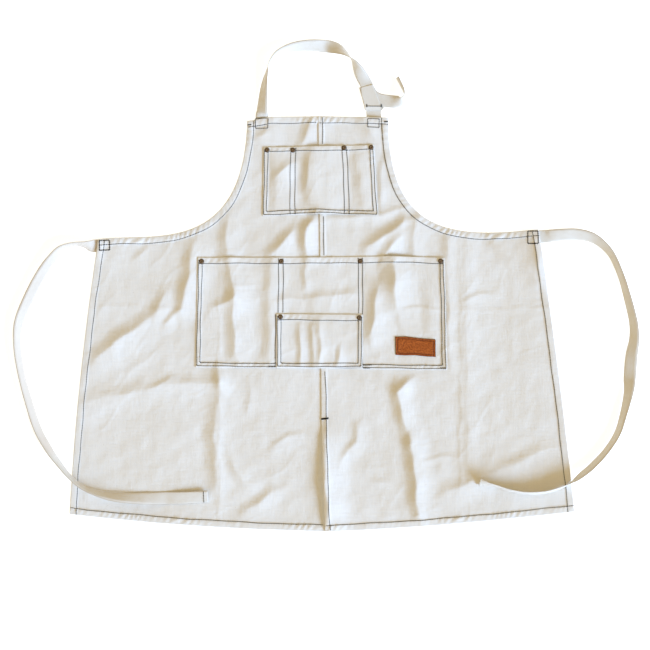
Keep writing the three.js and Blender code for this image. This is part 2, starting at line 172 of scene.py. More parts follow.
class Graph:
    """The node tree of one material."""

    def __init__(self, name: str) -> None:
        """Starts an empty material of that name."""
        self.material = bpy.data.materials.new(name)
        self.material.use_nodes = True
        self.tree = self.material.node_tree
        self.tree.nodes.clear()

    def node(self, kind: str, settings: dict[str, Any], inputs: dict[Any, Any], output: Any = 0) -> Value:
        """Adds a node.

        Args:
            kind: The node's type.
            settings: Properties that are set first; stops are a ramp's positions and greys.
            inputs: Numbers, colours or values for its sockets, by name or place.
            output: Name or place of the socket that is handed back.

        Returns:
            The chosen output.
        """
        node = self.tree.nodes.new(kind)
        for key, value in settings.items():
            if key == "stops":
                self._ramp(node, value)
            else:
                setattr(node, key, value)
        for key, value in inputs.items():
            if isinstance(value, Value):
                self.tree.links.new(value.socket, node.inputs[key])
            else:
                node.inputs[key].default_value = value
        return Value(self, node.outputs[output])

    @staticmethod
    def _ramp(node: bpy.types.Node, stops: Sequence[tuple[float, float]]) -> None:
        """Sets a ramp's stops.

        Args:
            node: The ramp node.
            stops: Position and grey of each stop, from low to high.
        """
        ramp = node.color_ramp
        while len(ramp.elements) < len(stops):
            ramp.elements.new(1.0)
        for element, (place, grey) in zip(ramp.elements, stops):
            element.position = place
            element.color = (grey, grey, grey, 1.0)

    def math(self, operation: str, *values: Any) -> Value:
        """Adds a Math node on up to three values or numbers."""
        return self.node("ShaderNodeMath", {"operation": operation}, dict(enumerate(values)))

    def mix(self, share: Any, first: Any, second: Any) -> Value:
        """Mixes two colours.

        Args:
            share: Weight of the second colour.
            first: Colour or value.
            second: Colour or value.

        Returns:
            The mixed colour.
        """
        colours = [c if isinstance(c, Value) else (*c, 1.0) for c in (first, second)]
        inputs = {0: share, 6: colours[0], 7: colours[1]}
        return self.node("ShaderNodeMix", {"data_type": "RGBA"}, inputs, 2)

    def place(self, stretch: tuple[float, float, float] = (1.0, 1.0, 1.0)) -> Value:
        """Object coordinates in metres, times a stretch."""
        coordinates = self.node("ShaderNodeTexCoord", {}, {}, "Object")
        return self.node("ShaderNodeVectorMath", {"operation": "MULTIPLY"}, {0: coordinates, 1: stretch})

    def part(self, vector: Value, axis: str) -> Value:
        """One part, X, Y or Z, of a vector."""
        return self.node("ShaderNodeSeparateXYZ", {}, {0: vector}, axis)

    def noise(self, vector: Value, scale: float, detail: float = 3.0) -> Value:
        """Noise from zero to one at a scale in features to the metre."""
        inputs = {"Vector": vector, "Scale": scale, "Detail": detail}
        return self.node("ShaderNodeTexNoise", {}, inputs, "Fac")

    def cells(self, vector: Value, scale: float) -> Value:
        """Distance to the nearest of scattered points, at a scale in points to the metre."""
        return self.node("ShaderNodeTexVoronoi", {}, {"Vector": vector, "Scale": scale}, "Distance")

    def ramp(self, value: Value, stops: Sequence[tuple[float, float]]) -> Value:
        """A value bent through a ramp of greys."""
        return self.node("ShaderNodeValToRGB", {"stops": stops}, {0: value}, "Color")

    def attribute(self, name: str) -> Value:
        """A number that the mesh carries at each vertex."""
        return self.node("ShaderNodeAttribute", {"attribute_name": name}, {}, "Fac")

    def bump(self, height: Value, distance: float, strength: float = 1.0) -> Value:
        """A normal from a height from zero to one over a distance in metres."""
        inputs = {"Strength": strength, "Distance": distance, "Height": height}
        return self.node("ShaderNodeBump", {}, inputs, "Normal")

    def surface(self, inputs: dict[str, Any]) -> bpy.types.Material:
        """Ends the tree in a Principled shader.

        Args:
            inputs: Values or numbers for the shader's sockets.

        Returns:
            The finished material.
        """
        shader = self.node("ShaderNodeBsdfPrincipled", {}, inputs)
        end = self.tree.nodes.new("ShaderNodeOutputMaterial")
        self.tree.links.new(shader.socket, end.inputs["Surface"])
        return self.material


# Finishes


@dataclass(frozen=True)
class CanvasFinish:
    """Unbleached cotton canvas: a plain weave with slubs, seed flecks and soft tone changes."""

    pale: Colour = (0.875, 0.86, 0.825)
    deep: Colour = (0.78, 0.73, 0.64)
    worn: Colour = (0.77, 0.765, 0.745)
    fleck: Colour = (0.35, 0.24, 0.13)
    thread_pitch: float = 0.95
    slub_scale: float = 55.0
    slub_stretch: float = 26.0
    streak_scale: float = 36.0
    streak_stretch: float = 7.0
    tone_scale: float = 7.0
    seed_scale: float = 85.0
    seed_size: float = 0.045
    seed_patches: float = 31.0
    seed_bareness: float = 0.62
    seed_strength: float = 0.55

    @staticmethod
    def _crossed(graph: Graph, stretch: float, scale: float) -> Value:
        """Noise drawn out along the warp, plus the same along the weft.

        Args:
            graph: The material's graph.
            stretch: How many times longer than wide the marks are.
            scale: Features to the metre along a mark.

        Returns:
            The sum, from zero to two.
        """
        warp = graph.noise(graph.place((stretch, 1.0, 1.0)), scale)
        weft = graph.noise(graph.place((1.0, stretch, 1.0)), scale)
        return warp + weft

    def material(self) -> bpy.types.Material:
        """Builds the material.

        Returns:
            The canvas material.
        """
        graph = Graph("canvas")
        spot = graph.place()
        turn = math.pi / (self.thread_pitch * MM)
        weave = (graph.part(spot, "X") * turn).sine() * (graph.part(spot, "Y") * turn).sine()
        slubs = self._crossed(graph, self.slub_stretch, self.slub_scale) * 0.5
        streaks = self._crossed(graph, self.streak_stretch, self.streak_scale)
        tone = graph.ramp(graph.noise(spot, self.tone_scale, 5.0), [(0.38, 0.0), (0.72, 0.5)])
        colour = graph.mix(tone, self.pale, self.deep)
        colour = graph.mix(graph.ramp(slubs, [(0.42, 0.22), (0.6, 0.0)]), colour, self.deep)
        colour = graph.mix(graph.ramp(streaks * 0.5, [(0.36, 0.5), (0.6, 0.0)]), colour, self.worn)
        seeds = graph.cells(spot, self.seed_scale) < self.seed_size
        few = graph.noise(spot, self.seed_patches, 0.0) > self.seed_bareness
        colour = graph.mix(seeds * few * self.seed_strength, colour, self.fleck)
        height = weave * 0.12 + slubs * 0.5 + streaks * 0.45
        return graph.surface({
            "Base Color": colour,
            "Roughness": 0.86 + slubs * 0.12,
            "Normal": graph.bump(height, 0.0011, 0.7),
            **COTTON_SHEEN,
        })


@dataclass(frozen=True)
class TapeFinish:
    """Unbleached herringbone tape: slanting ribs that turn back at each column, selvedges darkened partly
    by their denser weave and partly as painted shade, and painted shade where a piece carries it.
    """

    pale: Colour = (0.8, 0.775, 0.72)
    deep: Colour = (0.73, 0.665, 0.55)
    # Darker edge colour: partly the denser selvedge weave, partly painted shade standing in for the shaded
    # edge line of a tilted tape
    selvedge_and_painted_shade: Colour = (0.5, 0.42, 0.3)
    # Painted shade: a darker colour that tones down the left tie's face off the cloth, where the key light
    # falls full on it
    washed: Colour = (0.72, 0.645, 0.55)
    column: float = 3.1
    rib: float = 1.5

    def material(self) -> bpy.types.Material:
        """Builds the material, on coordinates in millimetres across and along the tape.

        Returns:
            The tape material.
        """
        graph = Graph("herringbone_tape")
        weave = graph.node("ShaderNodeUVMap", {"uv_map": "weave"}, {})
        across = graph.part(weave, "X")
        along = graph.part(weave, "Y")
        slant = along + across.zigzag(self.column)
        rib = (slant * (2.0 * math.pi / self.rib)).sine() * 0.5 + 0.5
        valley = across.zigzag(self.column) / self.column
        groove = graph.ramp(valley, [(0.0, 0.0), (0.14, 1.0), (0.86, 1.0), (1.0, 0.0)])
        tone = graph.noise(graph.place(), 40.0)
        colour = graph.mix(graph.ramp(tone, [(0.4, 0.0), (0.75, 0.55)]), self.pale, self.deep)
        colour = graph.mix(0.2 - rib * 0.2, colour, self.deep)
        # Painted shade: the colour goes darker where the piece carries this mask, standing in for less
        # light on the left tie's lit face
        colour = graph.mix(graph.attribute("washed"), colour, self.washed)
        # Selvedges go darker, partly for their denser weave and partly as painted shade for the shaded edge
        # line along a tilted tape
        out = graph.math("ABSOLUTE", across) / (TAPE_WIDTH / 2.0)
        colour = graph.mix(graph.ramp(out, [(0.88, 0.0), (0.97, 0.7)]), colour, self.selvedge_and_painted_shade)
        return graph.surface({
            "Base Color": colour,
            "Roughness": 0.9 - rib * 0.08,
            "Normal": graph.bump(rib * 0.6 + groove * 0.4, 0.0004, 0.6),
            **COTTON_SHEEN,
        })


@dataclass(frozen=True)
class ThreadFinish:
    """Charcoal sewing thread with a fine twist."""

    dark: Colour = (0.006, 0.006, 0.008)
    worn: Colour = (0.024, 0.023, 0.025)
    twist_turn: float = 9000.0
    fuzz_scale: float = 900.0

    def material(self) -> bpy.types.Material:
        """Builds the material.

        Returns:
            The thread material.
        """
        graph = Graph("charcoal_thread")
        spot = graph.place()
        reach = graph.part(spot, "X") + graph.part(spot, "Y") + graph.part(spot, "Z")
        twist = (reach * self.twist_turn).sine()
        fuzz = graph.noise(spot, self.fuzz_scale)
        return graph.surface({
            "Base Color": graph.mix(fuzz, self.dark, self.worn),
            "Roughness": 0.7 + fuzz * 0.2,
            "Normal": graph.bump(twist * 0.5 + 0.5, 0.0002, 0.5),
            "Specular IOR Level": 0.12,
        })


@dataclass(frozen=True)
class LeatherFinish:
    """Orange brown leather with a pebbled grain, darker along its cut and pressed edges."""

    light: Colour = (0.53, 0.145, 0.028)
    dark: Colour = (0.17, 0.034, 0.007)
    burnt: Colour = (0.1, 0.026, 0.01)
    mottle_scale: float = 420.0
    grain_scale: float = 1100.0

    def material(self) -> bpy.types.Material:
        """Builds the material.

        Returns:
            The leather material.
        """
        graph = Graph("leather")
        spot = graph.place()
        mottle = graph.noise(spot, self.mottle_scale, 6.0)
        grain = graph.cells(spot, self.grain_scale)
        colour = graph.mix(graph.ramp(mottle, [(0.4, 0.0), (0.66, 1.0)]), self.light, self.dark)
        colour = graph.mix(graph.attribute("burnish") * 0.85, colour, self.burnt)
        pores = grain * 0.6 + mottle * 0.4
        return graph.surface({
            "Base Color": colour,
            "Roughness": 0.5 + mottle * 0.25,
            "Normal": graph.bump(pores, 0.0004, 0.5),
            "Specular IOR Level": 0.14,
        })


@dataclass(frozen=True)
class BronzeFinish:
    """Antiqued dark bronze, worn brighter on the crown."""

    aged: Colour = (0.06, 0.042, 0.03)
    worn: Colour = (0.36, 0.25, 0.15)
    tarnish_scale: float = 700.0

    def material(self) -> bpy.types.Material:
        """Builds the material.

        Returns:
            The bronze material.
        """
        graph = Graph("antique_bronze")
        tarnish = graph.noise(graph.place(), self.tarnish_scale, 5.0)
        wear = graph.attribute("wear") * (0.5 + tarnish * 0.9)
        return graph.surface({
            "Base Color": graph.mix(wear, self.aged, self.worn),
            "Metallic": 0.85,
            "Roughness": 0.55 - wear * 0.2,
            "Normal": graph.bump(tarnish, 0.0002, 0.35),
        })


class Finishes:
    """One material for each slot, made once."""

    def __init__(self) -> None:
        """Builds all the materials."""
        self.materials = {
            Slot.CANVAS: CanvasFinish().material(),
            Slot.TAPE: TapeFinish().material(),
            Slot.THREAD: ThreadFinish().material(),
            Slot.LEATHER: LeatherFinish().material(),
            Slot.RIVET: BronzeFinish().material(),
        }

    def dress(self, piece: bpy.types.Object, slot: Slot, *nodes: str) -> bpy.types.Object:
        """Gives a piece its material and its place in the frame.

        Args:
            piece: The object.
            slot: Its finish.
            nodes: The frame's nodes that it stands for.

        Returns:
            The same object.
        """
        piece.data.materials.append(self.materials[slot])
        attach(piece, BODY)
        if nodes:
            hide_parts(*nodes)
        LOG.info("%s: %d faces", piece.name, len(piece.data.polygons))
        return piece


# Geometry helpers


def smooth(value: Array) -> Array:
    """Eases a value from zero to one."""
    part = np.clip(value, 0.0, 1.0)
    return part * part * (3.0 - 2.0 * part)


def mesh_object(
    name: str,
    vertices: Array,
    faces: Sequence[Array],
    weave: Array | None = None,
) -> bpy.types.Object:
    """Makes a smooth mesh object from arrays.

    Args:
        name: The object's name.
        vertices: Rows of x, y and z in millimetres.
        faces: Arrays of triangles and of quads.
        weave: Position across and along the weave of each vertex, in millimetres.

    Returns:
        The linked object.
    """
    mesh = bpy.data.meshes.new(name)
    corners = np.concatenate([block.ravel() for block in faces]).astype(np.int32)
    sizes = np.concatenate([np.full(len(block), block.shape[1]) for block in faces])
    starts = np.concatenate([[0], np.cumsum(sizes)[:-1]]).astype(np.int32)
    mesh.vertices.add(len(vertices))
    mesh.vertices.foreach_set("co", (np.asarray(vertices) * MM).astype(np.float32).ravel())
    mesh.loops.add(len(corners))
    mesh.loops.foreach_set("vertex_index", corners)
    mesh.polygons.add(len(sizes))
    mesh.polygons.foreach_set("loop_start", starts)
    mesh.polygons.foreach_set("use_smooth", np.ones(len(sizes), dtype=bool))
    mesh.update(calc_edges=True)
    mesh.validate()
    if weave is not None:
        layer = mesh.uv_layers.new(name="weave")
        layer.data.foreach_set("uv", weave[corners].astype(np.float32).ravel())
    piece = bpy.data.objects.new(name, mesh)
    bpy.context.scene.collection.objects.link(piece)
    return piece


def carry(piece: bpy.types.Object, name: str, numbers: Array) -> None:
    """Stores a number at each vertex of a piece, for its finish to read."""
    layer = piece.data.attributes.new(name, "FLOAT", "POINT")
    layer.data.foreach_set("value", numbers.astype(np.float32))


def resample(points: Array, spacing: float) -> Array:
    """Points at an even spacing along a line, both ends kept.

    Args:
        points: Rows of two or three coordinates.
        spacing: Wanted distance.

    Returns:
        The new points.
    """
    reach = np.concatenate([[0.0], np.cumsum(np.linalg.norm(np.diff(points, axis=0), axis=1))])
    count = max(2, int(round(reach[-1] / spacing)) + 1)
    wanted = np.linspace(0.0, reach[-1], count)
    return np.stack([np.interp(wanted, reach, points[:, axis]) for axis in range(points.shape[1])], axis=1)


def bezier(*controls: Sequence[float], steps: int = 160) -> Array:
    """Points on a Bezier curve through its first and last control."""
    share = np.linspace(0.0, 1.0, steps)[:, None, None]
    level = np.repeat(np.array(controls, float)[None], steps, axis=0)
    while level.shape[1] > 1:
        level = level[:, :-1] * (1.0 - share) + level[:, 1:] * share
    return level[:, 0]


def spline(rows: Array, steps: int) -> Array:
    """A Catmull-Rom line through rows of numbers.

    Args:
        rows: The rows to pass through.
        steps: Steps from one row to the next.

    Returns:
        The finer rows.
    """
    padded = np.concatenate([[2 * rows[0] - rows[1]], rows, [2 * rows[-1] - rows[-2]]])
    share = (np.arange(steps) / steps)[None, :, None]
    a, b, c, d = (padded[k:len(padded) - 3 + k][:, None, :] for k in range(4))
    bends = 2 * b + (c - a) * share + (2 * a - 5 * b + 4 * c - d) * share**2
    line = 0.5 * (bends + (3 * b - a - 3 * c + d) * share**3)
    return np.concatenate([line.reshape(-1, rows.shape[1]), rows[-1:]])


def nearest(points: Array, lines: Sequence[Array]) -> tuple[Array, Array]:
    """Distance of points from some lines.

    Args:
        points: Rows of x and y.
        lines: Open lines of points.

    Returns:
        The distance of each point, and the place along the lines that is nearest to it.
    """
    best = np.full(len(points), np.inf)
    place = np.zeros(len(points))
    start = 0.0
    for line in lines:
        for first, last in zip(line[:-1], line[1:]):
            run = last - first
            length = max(float(np.hypot(*run)), 1e-9)
            away = points - first
            share = np.clip((away @ run) / length**2, 0.0, 1.0)
            far = np.hypot(away[:, 0] - share * run[0], away[:, 1] - share * run[1])
            closer = far < best
            best[closer] = far[closer]
            place[closer] = start + share[closer] * length
            start += length
    return best, place


def inside(points: Array, loop: Array) -> Array:
    """Tells which points lie within a closed loop."""
    odd = np.zeros(len(points), dtype=bool)
    for (xa, ya), (xb, yb) in zip(loop, np.roll(loop, -1, axis=0)):
        crosses = (points[:, 1] < ya) != (points[:, 1] < yb)
        if ya != yb:
            odd ^= crosses & (points[:, 0] < xa + (points[:, 1] - ya) * (xb - xa) / (yb - ya))
    return odd


def tangents(points: Array) -> Array:
    """Unit headings along a line of points."""
    run = np.gradient(points, axis=0)
    return run / np.linalg.norm(run, axis=1, keepdims=True)


def leftwards(run: Array) -> Array:
    """Plan directions a quarter turn to the left of headings."""
    return np.column_stack([-run[:, 1], run[:, 0]])


def easing(span: int) -> Array:
    """Weights of a soft window that reaches a number of steps to each side."""
    kernel = np.hanning(2 * span + 3)[1:-1]
    return kernel / kernel.sum()


def tube_walls(count: int, size: int) -> Array:
    """Quads between the sections of a tube.

    Args:
        count: Number of sections.
        size: Vertices in each section.

    Returns:
        Rows of four vertices.
    """
    k = np.arange(size)
    loop = np.column_stack([k, (k + 1) % size, (k + 1) % size + size, k + size])
    return (loop[None] + (np.arange(count - 1) * size)[:, None, None]).reshape(-1, 4)


# How the cloth lies


class Fold(NamedTuple):
    """A ridge in the cloth: its ends, how far it bows to its left, its height and how far it spreads."""

    x1: float
    y1: float
    x2: float
    y2: float
    bow: float
    height: float
    reach: float
    crest: float = 1.2

    def rise(self, x: Array, y: Array) -> Array:
        """Height of the fold at points.

        Args:
            x: Across positions.
            y: Along positions.

        Returns:
            The heights, zero away from the fold.
        """
        margin = self.reach * (1.0 + LEAN) + abs(self.bow)
        near = (x > min(self.x1, self.x2) - margin) & (x < max(self.x1, self.x2) + margin)
        near &= (y > min(self.y1, self.y2) - margin) & (y < max(self.y1, self.y2) + margin)
        heights = np.zeros_like(x)
        run_x = self.x2 - self.x1
        run_y = self.y2 - self.y1
        length = math.hypot(run_x, run_y)
        away_x = x[near] - self.x1
        away_y = y[near] - self.y1
        free = (away_x * run_x + away_y * run_y) / length**2
        along = np.clip(free, 0.0, 1.0)
        across = (away_y * run_x - away_x * run_y) / length - 4.0 * self.bow * along * (1.0 - along)
        place = along * length
        (sway, sway_run), (quiver, quiver_run) = FOLD_WAVER
        waver = sway * np.sin(place / sway_run + self.x1)
        waver += quiver * np.sin(place / quiver_run + self.y1)
        across += waver
        lean = math.copysign(LEAN, run_x * LEAN_FROM[1] - run_y * LEAN_FROM[0])
        reach = self.reach * (1.0 - lean * np.tanh(across / LEAN_SOFTNESS))
        far = np.minimum(np.hypot(across, (free - along) * length) / reach, 1.0)
        swing = 1.0 + FOLD_SWING * np.sin(place / FOLD_SWING_RUN + self.y1)
        taper = (1.0 - FOLD_TAPER * (2.0 * along - 1.0) ** 2) * swing
        heights[near] = FOLD_GAIN * self.height * taper * (1.0 - far**self.crest) ** 2
        return heights


def total_rise(folds: Iterable[Fold], x: Array, y: Array) -> Array:
    """Sum of the heights of folds at points."""
    heights = np.zeros_like(x)
    for fold in folds:
        heights += fold.rise(x, y)
    return heights


BODY_FOLDS = [Fold(*row) for row in (
    (-18, 328, -38, 284, 0, 3.5, 30),
    (-104, 312, -134, 292, 0, 2.5, 30),
    (80, 330, 112, 290, 0, 3, 32),
    (-16, 132, -28, 62, -14, 6, 30),
    (-54, 112, -102, 64, 0, 4.5, 32),
    (166, 128, 92, 78, 0, 6, 32),
    (156, 100, 126, 60, 0, 4.5, 30),
    (188, 130, 184, 66, 0, 4, 32),
    (-188, 130, -190, 62, 0, 4.5, 34),
    (-256, 80, -280, -48, 0, 5.5, 36),
    (-330, -52, -450, -144, 0, 4.5, 40),
    (-312, -14, -330, -50, 0, 4, 30),
    (-206, -168, -204, -198, 0, 4, 26),
    (-204, -198, -210, -408, -6, 4.2, 38),
    (-468, -232, -300, -194, 0, 2.4, 42),
    (-300, -194, -206, -198, 0, 2.2, 32),
    (174, -188, 149, -212, 0, 3.6, 22),
    (150, -212, 178, -318, 0, 6.5, 32),
    (178, -318, 194, -458, 0, 8, 34),
    (424, 84, 437, 14, 0, 6.5, 66),
    (346, 84, 432, 10, 0, 4, 40),
    (250, 90, 256, -168, 0, 3, 32),
    (288, 90, 292, -360, 0, 2, 34),
    (-449, 98, -449, 60, 0, 2.4, 14),
    (252, -410, 318, -384, 0, 4, 36),
    (318, -384, 452, -326, 0, 2.4, 40),
    (-182, -346, -156, -392, 0, 3, 30),
    (-150, -448, -100, -414, 0, 3, 30),
)]
BIB_POCKET_FOLDS = [Fold(*row) for row in (
    (-26, 258, -28, 192, 0, 3.7, 30),
    (-62, 240, -92, 218, 0, 2.8, 26),
    (-86, 258, -88, 160, 0, 2.0, 30, 2.0),
    (-4, 262, -4, 160, 0, 2.6, 58, 2.0),
    (76, 264, 82, 160, 0, 2.4, 34, 1.6),
)]
LOWER_POCKET_FOLDS = [Fold(*row) for row in (
    (-186, 42, -176, -22, 0, 5.4, 38),
    (-176, -22, -174, -136, 0, 5.8, 40),
    (-178, -22, -214, -44, 0, 3.8, 28),
    (-102, 34, -104, -140, 0, 3.4, 32, 1.6),
    (142, 46, 150, -42, 0, 9, 52),
    (114, -2, 98, -96, 0, 6.5, 36),
    (214, 36, 216, -90, 0, 2.2, 34, 1.8),
    (-76, -28, 66, -18, 0, 2.2, 26),
    (-30, 44, -34, -6, 0, 2.2, 20),
)]
CENTRE_POCKET_FOLDS = [Fold(*row) for row in (
    (-46, -82, -40, -158, 0, 2.2, 18),
    (-22, -84, -16, -160, 0, 2.4, 17),
    (-4, -70, -4, -158, 0, 2.2, 16),
    (36, -124, 30, -160, 0, 2, 16),
)]
SLIT_FOLDS = [Fold(4, -310, 12, -470, 0, 9.5, 46)]
CREASES = [Fold(*row) for row in (
    (-204, 60, -206, -190, 0, 0.35, 9),
    (-206, -190, -204, -470, 0, 0.5, 9),
    (276, 90, 280, -170, 0, 0.4, 9),
    (278, -180, 276, -400, 0, 0.6, 9),
    (-470, -44, -260, -50, 4, 0.35, 10),
    (262, -48, 470, -40, -4, 0.4, 10),
    (166, 156, 16, 134, 6, 2.0, 18),
    (-282, -50, -312, -76, 0, 2.0, 18),
    (-348, 80, -374, 52, 0, 1.4, 18),
    (286, -30, 340, -18, 3, 1.1, 15),
    (204, -352, 264, -344, 3, 1.1, 15),
    (168, -48, 234, -46, 2, 0.9, 12),
    (72, -282, 60, -320, 4, 2.0, 22),
    (60, -320, 40, -344, 0, 1.8, 22),
    (110, -388, 128, -398, 0, 1.3, 16),
    (-98, -320, -48, -300, 4, 1.4, 18),
    (-146, -192, -146, -252, 3, 1.2, 18),
    (-346, -208, -300, -182, 0, 1.5, 18),
    (118, 250, 120, 152, 0, 1.6, 16),
)]


class TapeLift(NamedTuple):
    """A level rise over a tape end that is sewn under the cloth, fading out round it."""

    x: float
    y: float
    level: float
    fade: float


TAPE_LIFTS = (
    TapeLift(-120, 327, 22, 70),
    TapeLift(104, 327, 22, 70),
    TapeLift(-432, 81, 24, 70),
    TapeLift(418, 97.5, 24, 70),
)

# Edge of the lap from neck to hem; the lowest stretch is the open slit
LAP_EDGE = np.array([(-8, 338.9), (-4, 57), (-1.6, -268), (6, -491.5)])


def lap_at(y: Array) -> Array:
    """Across position of the lap's edge."""
    return np.interp(-y, -LAP_EDGE[:, 1], LAP_EDGE[:, 0])


class Ripple:
    """Seeded unevenness made of many small waves, with a spread of about one."""

    def __init__(self, seed: int, count: int, shortest: float, longest: float) -> None:
        """Draws the waves.

        Args:
            seed: Start of the draws.
            count: Number of waves.
            shortest: Shortest wavelength.
            longest: Longest wavelength.
        """
        draw = np.random.default_rng(seed)
        angle = draw.uniform(0.0, math.pi, count)
        turn = 2.0 * math.pi / draw.uniform(shortest, longest, count)
        self.turn_x = turn * np.cos(angle)
        self.turn_y = turn * np.sin(angle)
        self.phase = draw.uniform(0.0, 2.0 * math.pi, count)

    def at(self, x: Array, y: Array) -> Array:
        """Values at points.

        Args:
            x: Across positions.
            y: Along positions.

        Returns:
            The values, spread about zero.
        """
        total = np.zeros_like(x)
        for a, b, c in zip(self.turn_x, self.turn_y, self.phase):
            total += np.sin(a * x + b * y + c)
        return total / math.sqrt(len(self.phase) / 2.0)


@dataclass
class ClothLie:
    """Height over the table of the underside of each layer of cloth."""

    lap_fade: float = 46.0
    lap_margin: float = 1.0
    pocket_fade: float = 34.0
    pocket_margin: float = 2.0
    swell: Ripple = field(default_factory=lambda: Ripple(SEED, 14, 90.0, 230.0))
    swell_height: float = 1.0
    swell_share: float = 0.4
    rumple: Ripple = field(default_factory=lambda: Ripple(SEED + 1, 26, 26.0, 64.0))
    rumple_height: float = 0.22
    grain: Ripple = field(default_factory=lambda: Ripple(SEED + 2, 30, 9.0, 19.0))
    grain_height: float = 0.055
    crease: Ripple = field(default_factory=lambda: Ripple(SEED + 3, 12, 70.0, 190.0))
    crease_mask: Ripple = field(default_factory=lambda: Ripple(SEED + 4, 10, 110.0, 260.0))
    crease_height: float = 0.4
    crinkle: Ripple = field(default_factory=lambda: Ripple(SEED + 5, 14, 34.0, 90.0))
    crinkle_mask: Ripple = field(default_factory=lambda: Ripple(SEED + 6, 10, 80.0, 210.0))
    crinkle_height: float = 0.24
    crease_width: float = 0.2
    mask_level: float = 0.35
    mask_gain: float = 0.5

    def _tape_lift(self, x: Array, y: Array) -> Array:
        """Rise over the sewn tape ends."""
        highest = np.zeros_like(x)
        for lift in TAPE_LIFTS:
            far = np.hypot(x - lift.x, y - lift.y)
            share = 1.0 - smooth((far - lift.level) / (lift.fade - lift.level))
            highest = np.maximum(highest, (TAPE + GAP) * share)
        return highest

    def _unevenness(self, x: Array, y: Array) -> Array:
        """Swells, rumples and stray creases of cloth that has been folded and laid out.

        Args:
            x: Across positions.
            y: Along positions.

        Returns:
            The heights, never below zero.
        """
        height = self.swell_height * (1.0 + self.swell_share * self.swell.at(x, y))
        height += self.rumple_height * self.rumple.at(x, y) + self.grain_height * self.grain.at(x, y)
        height = np.maximum(height, 0.0)
        stray = ((self.crease, self.crease_mask, self.crease_height),
                 (self.crinkle, self.crinkle_mask, self.crinkle_height))
        for lines, mask, rise in stray:
            ridge = np.exp(-((lines.at(x, y) / self.crease_width) ** 2))
            height += rise * ridge * smooth(self.mask_level + self.mask_gain * mask.at(x, y))
        return height

    def body(self, x: Array, y: Array) -> Array:
        """Underside of the lowest layer.

        Args:
            x: Across positions.
            y: Along positions.

        Returns:
            The heights.
        """
        folds = total_rise(BODY_FOLDS, x, y) + total_rise(CREASES, x, y)
        return folds + self._tape_lift(x, y) + self._unevenness(x, y)

    def right(self, x: Array, y: Array) -> Array:
        """Underside of the right panel, which laps over the left one.

        Args:
            x: Across positions.
            y: Along positions.

        Returns:
            The heights.
        """
        past = x - lap_at(y) - LAP - self.lap_margin
        step = (CLOTH + GAP) * (1.0 - smooth(past / self.lap_fade))
        return self.body(x, y) + step + total_rise(SLIT_FOLDS, x, y)

    def pocket(self, x: Array, y: Array) -> Array:
        """Underside of a pocket, which also rides over the lap.

        Args:
            x: Across positions.
            y: Along positions.

        Returns:
            The heights.
        """
        middle = lap_at(y) + HEM_WIDTH / 2.0
        beyond = np.abs(x - middle) - HEM_WIDTH / 2.0 - self.pocket_margin
        over = 1.0 - smooth(beyond / self.pocket_fade)
        return self.body(x, y) + CLOTH + GAP + (CLOTH + GAP + HEM_EXTRA) * over

    def bib_pocket(self, x: Array, y: Array) -> Array:
        """Underside of the bib pocket."""
        return self.pocket(x, y) + total_rise(BIB_POCKET_FOLDS, x, y)

    def lower_pocket(self, x: Array, y: Array) -> Array:
        """Underside of the lower pocket."""
        return self.pocket(x, y) + total_rise(LOWER_POCKET_FOLDS, x, y)

    def over_lower_pocket(self, x: Array, y: Array) -> Array:
        """Underside of what lies on the lower pocket."""
        return self.lower_pocket(x, y) + CLOTH + GAP

    def centre_pocket(self, x: Array, y: Array) -> Array:
        """Underside of the centre pocket."""
        return self.over_lower_pocket(x, y) + total_rise(CENTRE_POCKET_FOLDS, x, y)


# Cloth


class Edge(NamedTuple):
    """One edge of a cut piece, the width that is turned along it and how much the turning puckers."""

    points: Array
    hem: float
    pucker: float = 1.0


def raw_edges(corners: Sequence[Point]) -> list[Edge]:
    """Straight edges round some corners, with nothing turned along them."""
    closed = [*corners, corners[0]]
    return [Edge(np.array(pair), 0.0) for pair in zip(closed[:-1], closed[1:])]


class Outline:
    """The closed plan outline of a cut piece, running clockwise or anticlockwise edge by edge."""

    def __init__(self, edges: Sequence[Edge], spacing: float) -> None:
        """Samples the edges.

        Args:
            edges: The edges in order, each starting where the one before ends.
            spacing: Distance of the points along them.
        """
        self.edges = [
            edge._replace(points=resample(np.asarray(edge.points, float), spacing)) for edge in edges
        ]
        self.loop = np.concatenate([edge.points[:-1] for edge in self.edges])
        following = np.roll(self.loop, -1, axis=0)
        twice = self.loop[:, 0] * following[:, 1] - self.loop[:, 1] * following[:, 0]
        self.signed_area = float(twice.sum()) / 2.0

    def closed(self) -> Array:
        """The loop with its first point repeated at its end."""
        return np.concatenate([self.loop, self.loop[:1]])

    def inset(self, width: float) -> Array:
        """Points moved inwards from the loop, in order, with the corners mitred.

        Args:
            width: How far they move.

        Returns:
            The points that keep that distance from the whole outline.
        """
        run = np.roll(self.loop, -1, axis=0) - self.loop
        run /= np.linalg.norm(run, axis=1, keepdims=True)
        inward = leftwards(run) * math.copysign(1.0, self.signed_area)
        before = np.roll(inward, 1, axis=0)
        scale = 1.0 + np.sum(inward * before, axis=1, keepdims=True)
        moved = self.loop + width * (inward + before) / np.maximum(scale, MITRE_LIMIT)
        depth, _ = nearest(moved, [self.closed()])
        return moved[depth > width - INSET_SLACK]

    def hems(self) -> dict[tuple[float, float], list[Array]]:
        """The turned edges, grouped by width and puckering."""
        groups: dict[tuple[float, float], list[Array]] = {}
        for edge in self.edges:
            if edge.hem > 0.0:
                groups.setdefault((edge.hem, edge.pucker), []).append(edge.points)
        return groups


